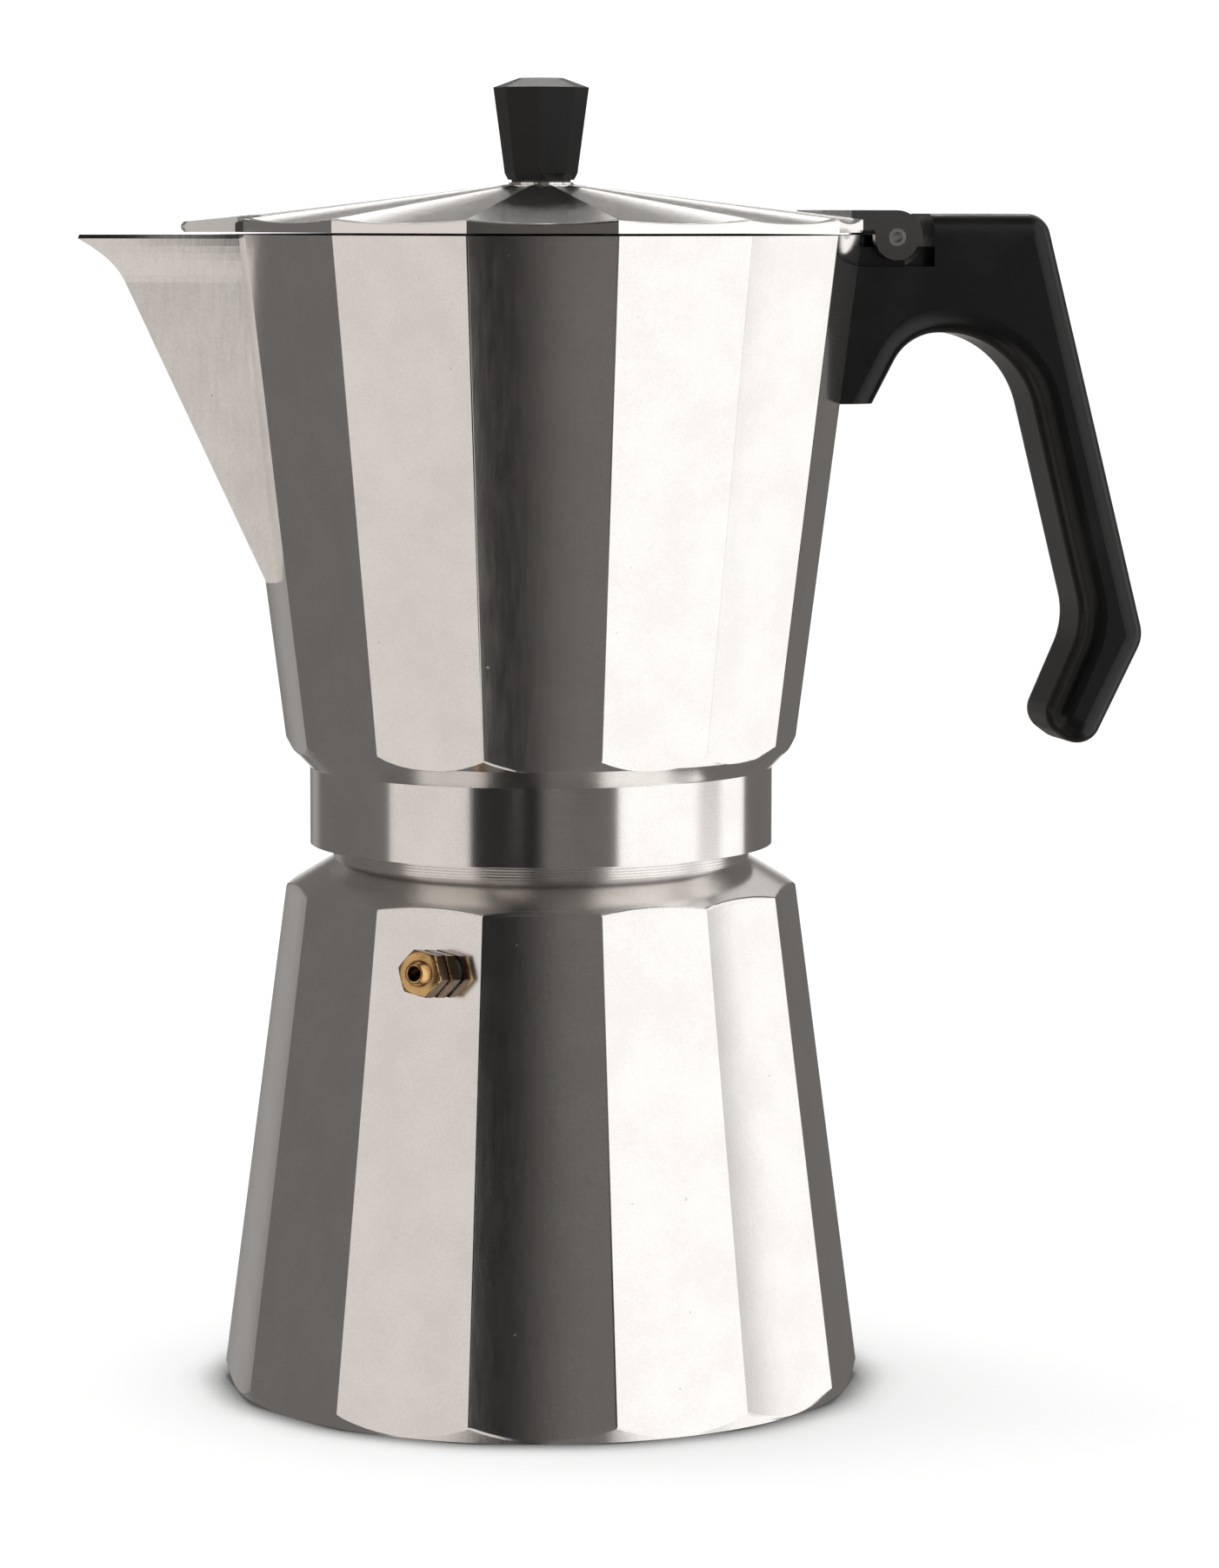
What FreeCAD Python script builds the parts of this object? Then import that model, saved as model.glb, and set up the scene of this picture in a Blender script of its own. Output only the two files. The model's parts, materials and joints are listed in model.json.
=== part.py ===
"""Stove-top moka pot with fourteen facets, as separate pieces.

All sizes are millimetres. +Z is up, +X points from the pot's axis to the handle, -X to the
spout, and the origin is the centre of the flat face that the boiler stands on.
"""
import FreeCAD
import Part
import math
import os

V = FreeCAD.Vector
UP = V(0, 0, 1)
ACROSS = V(0, 1, 0)

# ---- driving dimensions -------------------------------------------------------------------
FACETS = 14                  # flat sides of boiler, collector and lid
CUT_MARGIN = 5.0             # how far cutting tools run past the material
FACET_EDGE_R = 0.9           # rounding of the cast and turned edges between facets
LID_EDGE_R = 0.35            # rounding of the lid's scalloped rim

# boiler
BASE_CORNER_R = 65.74        # radius over the facet corners, at the base plane
BOILER_TAPER = 0.13086       # corner radius lost per millimetre of height
FOOT_R = 63.8                # circle that the base stands on
FOOT_CHAMFER_SLOPE = 0.47    # radius gained per millimetre up the turned foot chamfer
BOILER_WALL = 3.2
BOILER_FLOOR = 4.0
SHOULDER_Z = 102.7           # where the turned shoulder meets the facet corners
SHOULDER_RISE = 5.9          # height of the turned shoulder
NECK_WALL = 2.8              # neck between its bore and the root of its thread
NECK_STEP = 1.0              # visible neck proud of the thread's root
NECK_GAP = 3.1               # visible neck height
NECK_BORE_R = 38.8
NECK_THREAD_H = 11.3         # neck above the collector's lower edge
NECK_GROOVES = 5
NECK_GROOVE_PITCH = 0.56
NECK_GROOVE_DEPTH = 0.22

# screw thread between boiler and collector
THREAD_PITCH = 3.0
THREAD_DEPTH = 1.4
THREAD_RIDGE_ROOT = 1.7      # axial width of the ridge at its foot
THREAD_RIDGE_CREST = 0.7     # and at its crest
THREAD_TURNS = 2.6
THREAD_CLEARANCE = 0.3       # radial and axial play of the thread

# funnel with its strainer
FUNNEL_SHEET = 0.8
FUNNEL_FLANGE = 1.0          # thickness of the flange on the neck
FUNNEL_PLAY = 0.5            # basket inside the neck
BASKET_DEPTH = 33.0
FUNNEL_CONE_H = 13.5
STEM_R = 6.0
STEM_FLOOR_GAP = 4.0         # stem end above the boiler floor
STRAINER_PLAY = 0.1
PLATE_SHEET = 0.8            # sheet thickness of strainer and filter plate
HOLE_R = 0.7
HOLE_RING_STEP = 4.0

# gasket and filter plate
GASKET_H = 3.3
GASKET_LIP = 7.0             # radial width of the gasket
SEAL_PLAY = 0.05             # axial air left at each face of the gasket
SEAL_SIDE_PLAY = 0.3

# collector
RING_WALL = 4.05             # ring outside its thread
RING_H = 15.7
FLARE_STEP = 3.45            # turned flare above the ring
FLARE_RISE = 3.6
FLARE_RUN = 1.5              # height gained per millimetre of radius above the flare
COLLECTOR_R0 = 35.32         # corner radius carried down to the base plane
COLLECTOR_TAPER = 0.12711    # corner radius gained per millimetre of height
COLLECTOR_H = 123.8
COLLECTOR_WALL = 3.0
COLLECTOR_FLOOR = 6.6        # floor above the gasket seat
COLUMN_BASE_R = 9.0
COLUMN_TOP_R = 6.6
COLUMN_H = 68.0
COLUMN_BORE_R = 3.6
COLUMN_CAP = 3.0
OUTLET_W = 4.6
OUTLET_H = 7.0

# spout
SPOUT_HALF_ANGLE = 16.5      # plan angle of each panel to the spout's centre line
SPOUT_DROP = 70.0            # keel starts this far below the rim
SPOUT_STAND = 0.543          # keel start outside the collector's corners
SPOUT_SLOPE = 0.4666         # keel run per millimetre of height
SPOUT_WALL = 1.7
SPOUT_DEPTH = 6.9            # hidden back of the spout wedge, inside its keel start
LIP_START_DROP = 9.5         # the lip leaves the straight keel this far below the rim
LIP_TIP_DROP = 0.8           # the lip's tip below the rim
LIP_REACH = 5.4              # how far the tip stands ahead of the straight keel
LIP_BEND = 2.2               # power of the curve of the lip
LIP_STEPS = 6
LIP_RIM_REACH = 4.7          # the same at the rim, behind the rounded tip
CHANNEL_BACK = 2.2           # pouring channel's end behind the tip of the lip
CHANNEL_PAST = 1.0           # the channel's cutting tool runs this far past the rim

# lid
LID_GAP = 0.5
LID_OVERHANG = 0.15          # lid's corners outside the collector's
LID_RIM_H = 2.6
LID_SLOPE = 0.121            # rise of a ridge per millimetre towards the boss
FLUTE_DIP = 0.0118           # mid-flute drop per millimetre of corner radius
LID_SHEET = 1.6
LID_RIM_WALL = 3.6
BOSS_R = 9.2
BOSS_WAIST_R = 6.6           # boss under the knob's washer
BOSS_NECK_H = 0.4            # upright part of the waist
BOSS_TOP_H = 10.0            # boss top above the lid's lower edge
BEAK_REACH = 73.5
BEAK_TIP_W = 4.4
BEAK_ROOT_W = 13.0
BEAK_ROUND = 0.7             # rounding of the beak's end
BEAK_TIP_H = 2.1
BEAK_ROOT_H = 3.4            # the beak stands proud of the flute that it grows from

# knob
KNOB_SIDES = 8
KNOB_TURN = -15.4            # direction of one knob corner, degrees
KNOB_WASHER_H = 0.5
KNOB_WASHER_R = 6.0
KNOB_FOOT_R = 6.7
KNOB_WAIST_R = 7.4
KNOB_TOP_R = 9.7
KNOB_H = 20.5
KNOB_FOOT_H = 1.3
KNOB_DOME_H = 1.9
KNOB_DOME_FLAT_R = 4.5       # corner radius of the flat middle of the dome
INSERT_R = 3.2
INSERT_H = 10.0
KNOB_SCREW_R = 2.0
SCREW_PLAY = 0.05            # screw in its own thread
PASS_PLAY = 0.2              # screw through a plain hole
SCREW_HEAD_R = 3.6
SCREW_HEAD_H = 2.0
SLOT_W = 0.9

# hinge
HINGE_REACH = 8.882          # pin ahead of the collector's rim facet
HINGE_DROP = 0.5             # pin below the collector's rim
PIN_R = 1.45
PIN_BORE_R = 1.05
PIN_PLAY = 0.05
PIN_HEAD_R = 1.8
PIN_HEAD_H = 0.3
TONGUE_HALF = 7.5
CHEEK_PLAY = 0.3
CHEEK_T = 1.8
EAR_R = 4.7
BRACKET_TOP_H = 5.5          # top of the bracket above the pin
BRACKET_T = 1.6
BRACKET_CHEEK_LOW = 1.4      # lower edge of the cheek above the pin
BRACKET_ROOT = 15.9          # the bracket starts this far inside the pin
BRACKET_CURL_END = 40.0      # the plate curls round the pin down to this angle above level
LID_OPEN = 100.0             # how far the lid opens, degrees
SLOT_SPARE = 6.0             # slot beyond the opened plate, degrees
NOSE_R = 3.3                 # handle's nose around the pin
SLOT_R = 6.2                 # slot behind the nose that the bracket swings in

# handle; places are measured from the hinge pin: outwards, and upwards
HANDLE_HALF = 10.5
HANDLE_EDGE_R = 4.8
HANDLE_PLAY = 0.15
SEAT_UP = -2.0               # flat in the handle for the screw head
STEP_OUT = 7.8
HANDLE_TOP_UP = 4.8
HANDLE_CORNER_R = 5.0        # side-view corners, just over the edge radius
MOUNT_CUT = 8.0              # the blank runs this far past the flat cuts of the mount
ARCH_UP = -19.6              # underside of the arch over the fingers
MOUNT_TIP_OUT = -4.2
MOUNT_LOW_UP = -34.0
LEDGE_UP = -6.0              # the hinge zone above this is only as wide as the nose
# side-view corners of the grip: place out from and up from the pin, corner radius
GRIP_CORNERS = (
    (32.85, HANDLE_TOP_UP, HANDLE_CORNER_R),
    (55.2, -83.2, 7.0),
    (42.9, -107.7, HANDLE_CORNER_R),
    (32.9, -100.4, HANDLE_CORNER_R),
    (42.0, -79.9, 16.0),
    (26.9, ARCH_UP, 20.0),
    (3.5, ARCH_UP, 11.0),
)

# lug and handle screw
LUG_OUT = -0.5               # lug's end and the screw, out from the hinge pin
LUG_HALF = 5.0
LUG_LOW_UP = -15.0
LUG_H = 8.0
LUG_PLAY = 0.25
HANDLE_SCREW_OUT = -6.1
HANDLE_SCREW_R = 2.0
HANDLE_SCREW_L = 11.0
HANDLE_WASHER_H = 0.6
HANDLE_HEAD_R = 2.8
HANDLE_HEAD_H = 1.9

# safety valve, on its own axis square to a facet
VALVE_FACET = -5             # facet number counted from the handle
VALVE_DROP = 11.7            # valve axis below the edge of the shoulder
VALVE_ASIDE = 3.2            # and this far along the facet from its middle
VALVE_WASHER_R = 4.2
VALVE_WASHER_H = 0.9
VALVE_SHANK_R = 3.0
VALVE_SHANK_L = 7.5
VALVE_SHANK_PLAY = 0.05
HEX_R = 4.9                  # over the corners
HEX_TURN = 10.0              # both hexagons are turned by this on the valve axis, degrees
BODY_HEX_H = 4.2
GROOVE_R = 3.9
GROOVE_H = 0.7
CAP_HEX_H = 4.0
NIPPLE_R = 2.55
NIPPLE_END_R = 1.95
NIPPLE_L = 2.3
NIPPLE_BORE_R = 1.45
CHAMBER_R = 2.1
SEAT_DEPTH = 3.0             # valve seat inside the facet plane
INLET_R = 1.0
BALL_R = 1.7
BALL_PLAY = 0.05
SPRING_R = 1.35
SPRING_WIRE_R = 0.22
SPRING_TURNS = 5
SPRING_AIR = 0.3             # between the spring and what it presses on

# ---- values that follow -------------------------------------------------------------------
HALF_TURN = math.pi / FACETS
FLAT = math.cos(HALF_TURN)   # distance to a facet over distance to its corners
THREAD_ROOT_R = NECK_BORE_R + NECK_WALL
NECK_R = THREAD_ROOT_R + NECK_STEP
RING_R = THREAD_ROOT_R + THREAD_DEPTH + THREAD_CLEARANCE + RING_WALL
FLARE_R = RING_R + FLARE_STEP
NECK_FOOT_Z = SHOULDER_Z + SHOULDER_RISE
VALVE_Z = SHOULDER_Z - VALVE_DROP
RING_Z = NECK_FOOT_Z + NECK_GAP
NECK_TOP_Z = RING_Z + NECK_THREAD_H
FLANGE_TOP_Z = NECK_TOP_Z + FUNNEL_FLANGE
GASKET_Z = FLANGE_TOP_Z + SEAL_PLAY
SEAT_PLANE_Z = GASKET_Z + GASKET_H + SEAL_PLAY
MALE_BORE_R = THREAD_ROOT_R + THREAD_CLEARANCE
GASKET_R = MALE_BORE_R - SEAL_SIDE_PLAY
RIM_Z = RING_Z + COLLECTOR_H
RIM_CORNER_R = COLLECTOR_R0 + COLLECTOR_TAPER * RIM_Z
LID_CORNER_R = RIM_CORNER_R + LID_OVERHANG
SPOUT_LOW_Z = RIM_Z - SPOUT_DROP
SPOUT_LOW_R = COLLECTOR_R0 + COLLECTOR_TAPER * SPOUT_LOW_Z + SPOUT_STAND
SPOUT_BACK = SPOUT_LOW_R - SPOUT_DEPTH
HINGE_X = FLAT * RIM_CORNER_R + HINGE_REACH
HINGE_Z = RIM_Z - HINGE_DROP
BRACKET_START = HINGE_X - BRACKET_ROOT
SEAT_Z = HINGE_Z + SEAT_UP
STEP_X = HINGE_X + STEP_OUT
HANDLE_TOP_Z = HINGE_Z + HANDLE_TOP_UP
ARCH_Z = HINGE_Z + ARCH_UP
MOUNT_TIP_X = HINGE_X + MOUNT_TIP_OUT
MOUNT_LOW_Z = HINGE_Z + MOUNT_LOW_UP
LEDGE_Z = HINGE_Z + LEDGE_UP
LUG_REACH = HINGE_X + LUG_OUT
LUG_LOW_Z = HINGE_Z + LUG_LOW_UP
HANDLE_SCREW_X = HINGE_X + HANDLE_SCREW_OUT
FLOOR_Z = SEAT_PLANE_Z + COLLECTOR_FLOOR
LID_Z = RIM_Z + LID_GAP
BOSS_Z = LID_Z + BOSS_TOP_H
KNOB_Z = BOSS_Z + KNOB_WASHER_H
CHEEK_IN = TONGUE_HALF + CHEEK_PLAY
CHEEK_OUT = CHEEK_IN + CHEEK_T
BASKET_R = NECK_BORE_R - FUNNEL_PLAY
BASKET_LOW_Z = NECK_TOP_Z - BASKET_DEPTH
CAP_START = VALVE_WASHER_H + BODY_HEX_H + GROOVE_H
BALL_REST = math.sqrt(BALL_R ** 2 - INLET_R ** 2) - SEAT_DEPTH + BALL_PLAY


def boiler_corner(z):
    """Radius over the boiler's facet corners at a height."""
    return BASE_CORNER_R - BOILER_TAPER * z


def collector_corner(z):
    """Radius over the collector's facet corners at a height."""
    return COLLECTOR_R0 + COLLECTOR_TAPER * z


def collector_face_x(z):
    """Distance of the collector's handle facet from the axis at a height."""
    return FLAT * collector_corner(z)


# ---- shape helpers ------------------------------------------------------------------------
def polygon_wire(sides, radius, z, first):
    """Closed regular polygon with one corner at the angle `first`."""
    step = 2 * math.pi / sides
    points = [V(radius * math.cos(first + step * k), radius * math.sin(first + step * k), z)
              for k in range(sides)]
    return Part.makePolygon(points + points[:1])


def faceted(sections, sides=FACETS, first=HALF_TURN):
    """Straight-sided solid through polygons given as (corner radius, height)."""
    wires = [polygon_wire(sides, radius, z, first) for radius, z in sections]
    return Part.makeLoft(wires, True, True)


def turned(points):
    """Solid of revolution about the pot's axis from (radius, height) corners."""
    corners = [V(radius, 0, z) for radius, z in points]
    face = Part.Face(Part.makePolygon(corners + corners[:1]))
    return face.revolve(V(0, 0, 0), UP, 360)


def side_prism(points, half_width):
    """Prism across the pot from an (x, z) outline, centred on the plane y = 0."""
    corners = [V(x, -half_width, z) for x, z in points]
    face = Part.Face(Part.makePolygon(corners + corners[:1]))
    return face.extrude(V(0, 2 * half_width, 0))


def block(x0, x1, half_width, z0, z1):
    """Block centred on the plane y = 0."""
    return Part.makeBox(x1 - x0, 2 * half_width, z1 - z0, V(x0, -half_width, z0))


def rod(radius, z0, z1, x=0.0, y=0.0):
    """Upright cylinder between two heights."""
    return Part.makeCylinder(radius, z1 - z0, V(x, y, z0))


def cross_rod(radius, half_width, x=HINGE_X, z=HINGE_Z):
    """Cylinder across the pot, by default on the hinge axis."""
    return Part.makeCylinder(radius, 2 * half_width, V(x, -half_width, z), ACROSS)


def rounded_outline(corners, y):
    """Closed outline in a plane y = const whose corners (x, z, radius) are arcs."""
    count = len(corners)
    edges = []
    for k in range(count):
        before, here, after = (V(c[0], y, c[1]) for c in
                               (corners[k - 1], corners[k], corners[(k + 1) % count]))
        radius = corners[k][2]
        back = (before - here).normalize()
        ahead = (after - here).normalize()
        half = back.getAngle(ahead) / 2
        start = here + back * (radius / math.tan(half))
        end = here + ahead * (radius / math.tan(half))
        middle_way = (back + ahead).normalize()
        middle = here + middle_way * (radius / math.sin(half) - radius)
        edges.append((start, middle, end))
    pieces = []
    for k in range(count):
        start, middle, end = edges[k]
        pieces.append(Part.Arc(start, middle, end).toShape())
        pieces.append(Part.LineSegment(end, edges[(k + 1) % count][0]).toShape())
    return Part.Wire(pieces)


def soften(shape, radius):
    """Round the edges between facets, and where facets meet turned faces."""
    plain = ("Part::GeomLine", "Part::GeomCircle")
    edges = [edge for edge in shape.Edges if len(edge.Vertexes) == 2 and edge.Curve.TypeId not in plain]
    return shape.makeFillet(radius, edges)


def helical_solid(z0, turns, root_r, crest_r, root_w, crest_w):
    """Right-hand helical ridge with a trapezium section."""
    path = Part.makeHelix(THREAD_PITCH, turns * THREAD_PITCH, root_r)
    section = Part.makePolygon([V(root_r, 0, -root_w / 2), V(crest_r, 0, -crest_w / 2),
                                V(crest_r, 0, crest_w / 2), V(root_r, 0, root_w / 2),
                                V(root_r, 0, -root_w / 2)])
    ridge = Part.Wire(path).makePipeShell([section], True, True)
    solid = Part.Solid(ridge) if ridge.ShapeType == "Shell" else ridge
    solid.translate(V(0, 0, z0))
    return solid


def perforation(outer_r, z0, z1):
    """Small round holes on rings, out to a radius."""
    holes = [rod(HOLE_R, z0, z1)]
    for ring in range(1, int(outer_r / HOLE_RING_STEP) + 1):
        radius = ring * HOLE_RING_STEP
        count = 6 * ring
        for k in range(count):
            angle = 2 * math.pi * k / count
            holes.append(rod(HOLE_R, z0, z1, radius * math.cos(angle), radius * math.sin(angle)))
    return Part.Compound(holes)


def screw(radius, length, head_r, head_h, x, z_seat, up):
    """Slotted screw whose head seats at z_seat; `up` is +1 when its shank points up."""
    shank = Part.makeCylinder(radius, length, V(x, 0, z_seat), V(0, 0, up))
    head = Part.makeCylinder(head_r, head_h, V(x, 0, z_seat), V(0, 0, -up))
    slot_z = z_seat - up * head_h
    slot = Part.makeBox(2 * head_r + 1, SLOT_W, head_h, V(x - head_r - 0.5, -SLOT_W / 2,
                                                          slot_z - head_h / 2))
    return shank.fuse(head).cut(slot)


# ---- boiler and what it holds -------------------------------------------------------------
def male_thread_z():
    """Height of the middle of the boiler thread's first ridge."""
    return RING_Z + THREAD_RIDGE_ROOT / 2 + THREAD_CLEARANCE


def neck_grooves():
    """Profile points of the fine turned grooves around the visible neck."""
    points = []
    for k in range(NECK_GROOVES):
        z = NECK_FOOT_Z + NECK_GROOVE_PITCH * (k + 0.3)
        points += [(NECK_R, z), (NECK_R - NECK_GROOVE_DEPTH, z + NECK_GROOVE_PITCH / 4),
                   (NECK_R, z + NECK_GROOVE_PITCH / 2)]
    return points


def make_boiler():
    """Water chamber: a faceted casting with a turned shoulder, neck and male thread."""
    wide = BASE_CORNER_R + CUT_MARGIN
    shoulder_slope = SHOULDER_RISE / (boiler_corner(SHOULDER_Z) - NECK_R)
    shoulder_out_z = NECK_FOOT_Z - shoulder_slope * (wide - NECK_R)
    foot_out_z = (wide - FOOT_R) / FOOT_CHAMFER_SLOPE
    profile = [(0, 0), (FOOT_R, 0), (wide, foot_out_z), (wide, shoulder_out_z), (NECK_R, NECK_FOOT_Z)]
    profile += neck_grooves()
    profile += [(NECK_R, RING_Z), (THREAD_ROOT_R, RING_Z), (THREAD_ROOT_R, NECK_TOP_Z),
                (0, NECK_TOP_Z)]
    top = NECK_TOP_Z + CUT_MARGIN
    body = faceted([(boiler_corner(0), 0), (boiler_corner(top), top)]).common(turned(profile))
    body = soften(body, FACET_EDGE_R)

    wall = BOILER_WALL / FLAT
    shoulder_wall = BOILER_WALL * math.sqrt(1 + shoulder_slope ** 2)
    neck_in_z = NECK_FOOT_Z + shoulder_slope * (NECK_R - NECK_BORE_R) - shoulder_wall
    room = [(0, BOILER_FLOOR), (wide, BOILER_FLOOR), (wide, shoulder_out_z - shoulder_wall),
            (NECK_BORE_R, neck_in_z), (NECK_BORE_R, top), (0, top)]
    cavity = faceted([(boiler_corner(0) - wall, 0), (boiler_corner(top) - wall, top)])
    body = body.cut(cavity.common(turned(room)))

    ridge = helical_solid(male_thread_z(), THREAD_TURNS, THREAD_ROOT_R - THREAD_CLEARANCE,
                          THREAD_ROOT_R + THREAD_DEPTH, THREAD_RIDGE_ROOT, THREAD_RIDGE_CREST)
    hole_r = VALVE_SHANK_R + VALVE_SHANK_PLAY
    hole = Part.makeCylinder(hole_r, BOILER_WALL + 2 * CUT_MARGIN, V(0, 0, -BOILER_WALL - CUT_MARGIN))
    return body.fuse(ridge).cut(place_valve(hole))


def make_funnel():
    """Coffee basket with its flange and the stem that reaches into the water."""
    stem_end = BOILER_FLOOR + STEM_FLOOR_GAP
    cone_end = BASKET_LOW_Z - FUNNEL_CONE_H
    inner_r = BASKET_R - FUNNEL_SHEET
    stem_in = STEM_R - FUNNEL_SHEET
    flange_r = THREAD_ROOT_R - SEAL_SIDE_PLAY
    return turned([(flange_r, NECK_TOP_Z), (flange_r, FLANGE_TOP_Z), (inner_r, FLANGE_TOP_Z),
                   (inner_r, BASKET_LOW_Z), (stem_in, cone_end), (stem_in, stem_end),
                   (STEM_R, stem_end), (STEM_R, cone_end - FUNNEL_SHEET),
                   (BASKET_R, BASKET_LOW_Z - FUNNEL_SHEET), (BASKET_R, NECK_TOP_Z)])


def make_funnel_strainer():
    """Perforated disc that closes the bottom of the coffee basket."""
    radius = BASKET_R - FUNNEL_SHEET - STRAINER_PLAY
    z0 = BASKET_LOW_Z + STRAINER_PLAY
    disc = rod(radius, z0, z0 + PLATE_SHEET)
    return disc.cut(perforation(radius - HOLE_RING_STEP, z0 - 1, z0 + PLATE_SHEET + 1))


# ---- safety valve -------------------------------------------------------------------------
def place_valve(shape):
    """Move a shape from the valve's own axis (z outwards) onto its facet."""
    turn = VALVE_FACET * 2 * math.pi / FACETS
    lean = math.atan(FLAT * BOILER_TAPER)
    out = V(math.cos(turn) * math.cos(lean), math.sin(turn) * math.cos(lean), math.sin(lean))
    face = FLAT * boiler_corner(VALVE_Z)
    point = V(face * math.cos(turn) - VALVE_ASIDE * math.sin(turn),
              face * math.sin(turn) + VALVE_ASIDE * math.cos(turn), VALVE_Z)
    moved = shape.copy()
    moved.Placement = FreeCAD.Placement(point, FreeCAD.Rotation(UP, out))
    return moved


def make_valve_washer():
    """Fibre washer between the valve and the boiler wall."""
    ring = rod(VALVE_WASHER_R, 0, VALVE_WASHER_H)
    return place_valve(ring.cut(rod(VALVE_SHANK_R + VALVE_SHANK_PLAY, -1, VALVE_WASHER_H + 1)))


def make_valve_body():
    """Hexagon body with the shank through the wall, the seat and the ball chamber."""
    hexagon = faceted([(HEX_R, VALVE_WASHER_H), (HEX_R, VALVE_WASHER_H + BODY_HEX_H)],
                      6, math.radians(HEX_TURN))
    shank = rod(VALVE_SHANK_R, -VALVE_SHANK_L, VALVE_WASHER_H)
    collar = rod(GROOVE_R, VALVE_WASHER_H + BODY_HEX_H, CAP_START)
    chamber = rod(CHAMBER_R, -SEAT_DEPTH, CAP_START + 1)
    inlet = rod(INLET_R, -VALVE_SHANK_L - 1, -SEAT_DEPTH)
    return place_valve(hexagon.fuse([shank, collar]).cut(chamber).cut(inlet))


def make_valve_cap():
    """Outer hexagon with the nipple that steam leaves by."""
    end = CAP_START + CAP_HEX_H
    hexagon = faceted([(HEX_R, CAP_START), (HEX_R, end)], 6, math.radians(HEX_TURN))
    nipple = Part.makeCone(NIPPLE_R, NIPPLE_END_R, NIPPLE_L, V(0, 0, end))
    bore = rod(NIPPLE_BORE_R, CAP_START - 1, end + NIPPLE_L + 1)
    return place_valve(hexagon.fuse(nipple).cut(bore))


def make_valve_ball():
    """Ball that the spring holds on the seat."""
    return place_valve(Part.makeSphere(BALL_R, V(0, 0, BALL_REST)))


def make_valve_spring():
    """Coil spring between the ball and the cap."""
    low = BALL_REST + BALL_R + SPRING_AIR
    high = CAP_START - SPRING_AIR
    height = high - low
    helix = Part.makeHelix(height / SPRING_TURNS, height, SPRING_R)
    circle = Part.Wire(Part.makeCircle(SPRING_WIRE_R, V(SPRING_R, 0, 0), ACROSS))
    coil = Part.Wire(helix).makePipeShell([circle], True, True)
    coil.translate(V(0, 0, low))
    return place_valve(coil)


# ---- seal ---------------------------------------------------------------------------------
def make_gasket():
    """Flat rubber ring pressed between the funnel's flange and the collector."""
    ring = rod(GASKET_R, GASKET_Z, GASKET_Z + GASKET_H)
    return ring.cut(rod(GASKET_R - GASKET_LIP, GASKET_Z - 1, GASKET_Z + GASKET_H + 1))


def make_filter_plate():
    """Perforated upper plate with a turned-up rim, held by the gasket."""
    outer = GASKET_R - GASKET_LIP - STRAINER_PLAY
    low = GASKET_Z + PLATE_SHEET
    dish = turned([(0, low), (outer, low), (outer, GASKET_Z + GASKET_H),
                   (outer - PLATE_SHEET, GASKET_Z + GASKET_H), (outer - PLATE_SHEET, low + PLATE_SHEET),
                   (0, low + PLATE_SHEET)])
    return dish.cut(perforation(outer - HOLE_RING_STEP, low - 1, low + PLATE_SHEET + 1))


# ---- collector ----------------------------------------------------------------------------
def keel_reach(z):
    """Distance of the spout's straight keel from the axis at a height."""
    return SPOUT_LOW_R + SPOUT_SLOPE * (z - SPOUT_LOW_Z)


def spout_section(reach, keel, z, inset):
    """V-shaped plan section of the spout; `inset` thins it for the channel."""
    half = (keel - SPOUT_BACK) * math.tan(math.radians(SPOUT_HALF_ANGLE)) - inset
    points = [V(-reach, 0, z), V(-SPOUT_BACK, -half, z), V(-SPOUT_BACK, half, z)]
    return Part.makePolygon(points + points[:1])


def spout_wedge():
    """Outside of the spout: two flat panels, a keel and a flared pouring lip."""
    sections = [spout_section(SPOUT_LOW_R, SPOUT_LOW_R, SPOUT_LOW_Z, 0)]
    for step in range(LIP_STEPS + 1):
        share = step / LIP_STEPS
        z = RIM_Z - LIP_START_DROP + share * (LIP_START_DROP - LIP_TIP_DROP)
        sections.append(spout_section(keel_reach(z) + LIP_REACH * share ** LIP_BEND, keel_reach(z), z, 0))
    sections.append(spout_section(keel_reach(RIM_Z) + LIP_RIM_REACH, keel_reach(RIM_Z), RIM_Z, 0))
    return Part.makeLoft(sections, True, True)


def spout_channel():
    """Inside of the spout, open to the collector and along its top."""
    angle = math.radians(SPOUT_HALF_ANGLE)
    side = SPOUT_WALL / math.cos(angle)
    back = SPOUT_WALL / math.sin(angle)
    low_z = SPOUT_LOW_Z + back / SPOUT_SLOPE
    lip_z = RIM_Z - LIP_START_DROP / 2
    sections = []
    for z in (low_z, lip_z):
        sections.append(spout_section(keel_reach(z) - back, keel_reach(z), z, side))
    top = RIM_Z + CHANNEL_PAST
    rim_reach = keel_reach(RIM_Z) + LIP_RIM_REACH - CHANNEL_BACK
    sections.append(spout_section(rim_reach, keel_reach(RIM_Z), RIM_Z, side))
    sections.append(spout_section(rim_reach + CHANNEL_BACK / 4, keel_reach(top), top, side))
    return Part.makeLoft(sections, True, True)


def coffee_column():
    """Hollow column that the coffee rises through, closed at the top."""
    top = FLOOR_Z + COLUMN_H
    outside = Part.makeCone(COLUMN_BASE_R, COLUMN_TOP_R, COLUMN_H + 1, V(0, 0, FLOOR_Z - 1))
    dome = Part.makeSphere(COLUMN_TOP_R, V(0, 0, top)).common(rod(COLUMN_TOP_R, top, top + COLUMN_TOP_R))
    return outside.fuse(dome)


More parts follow.
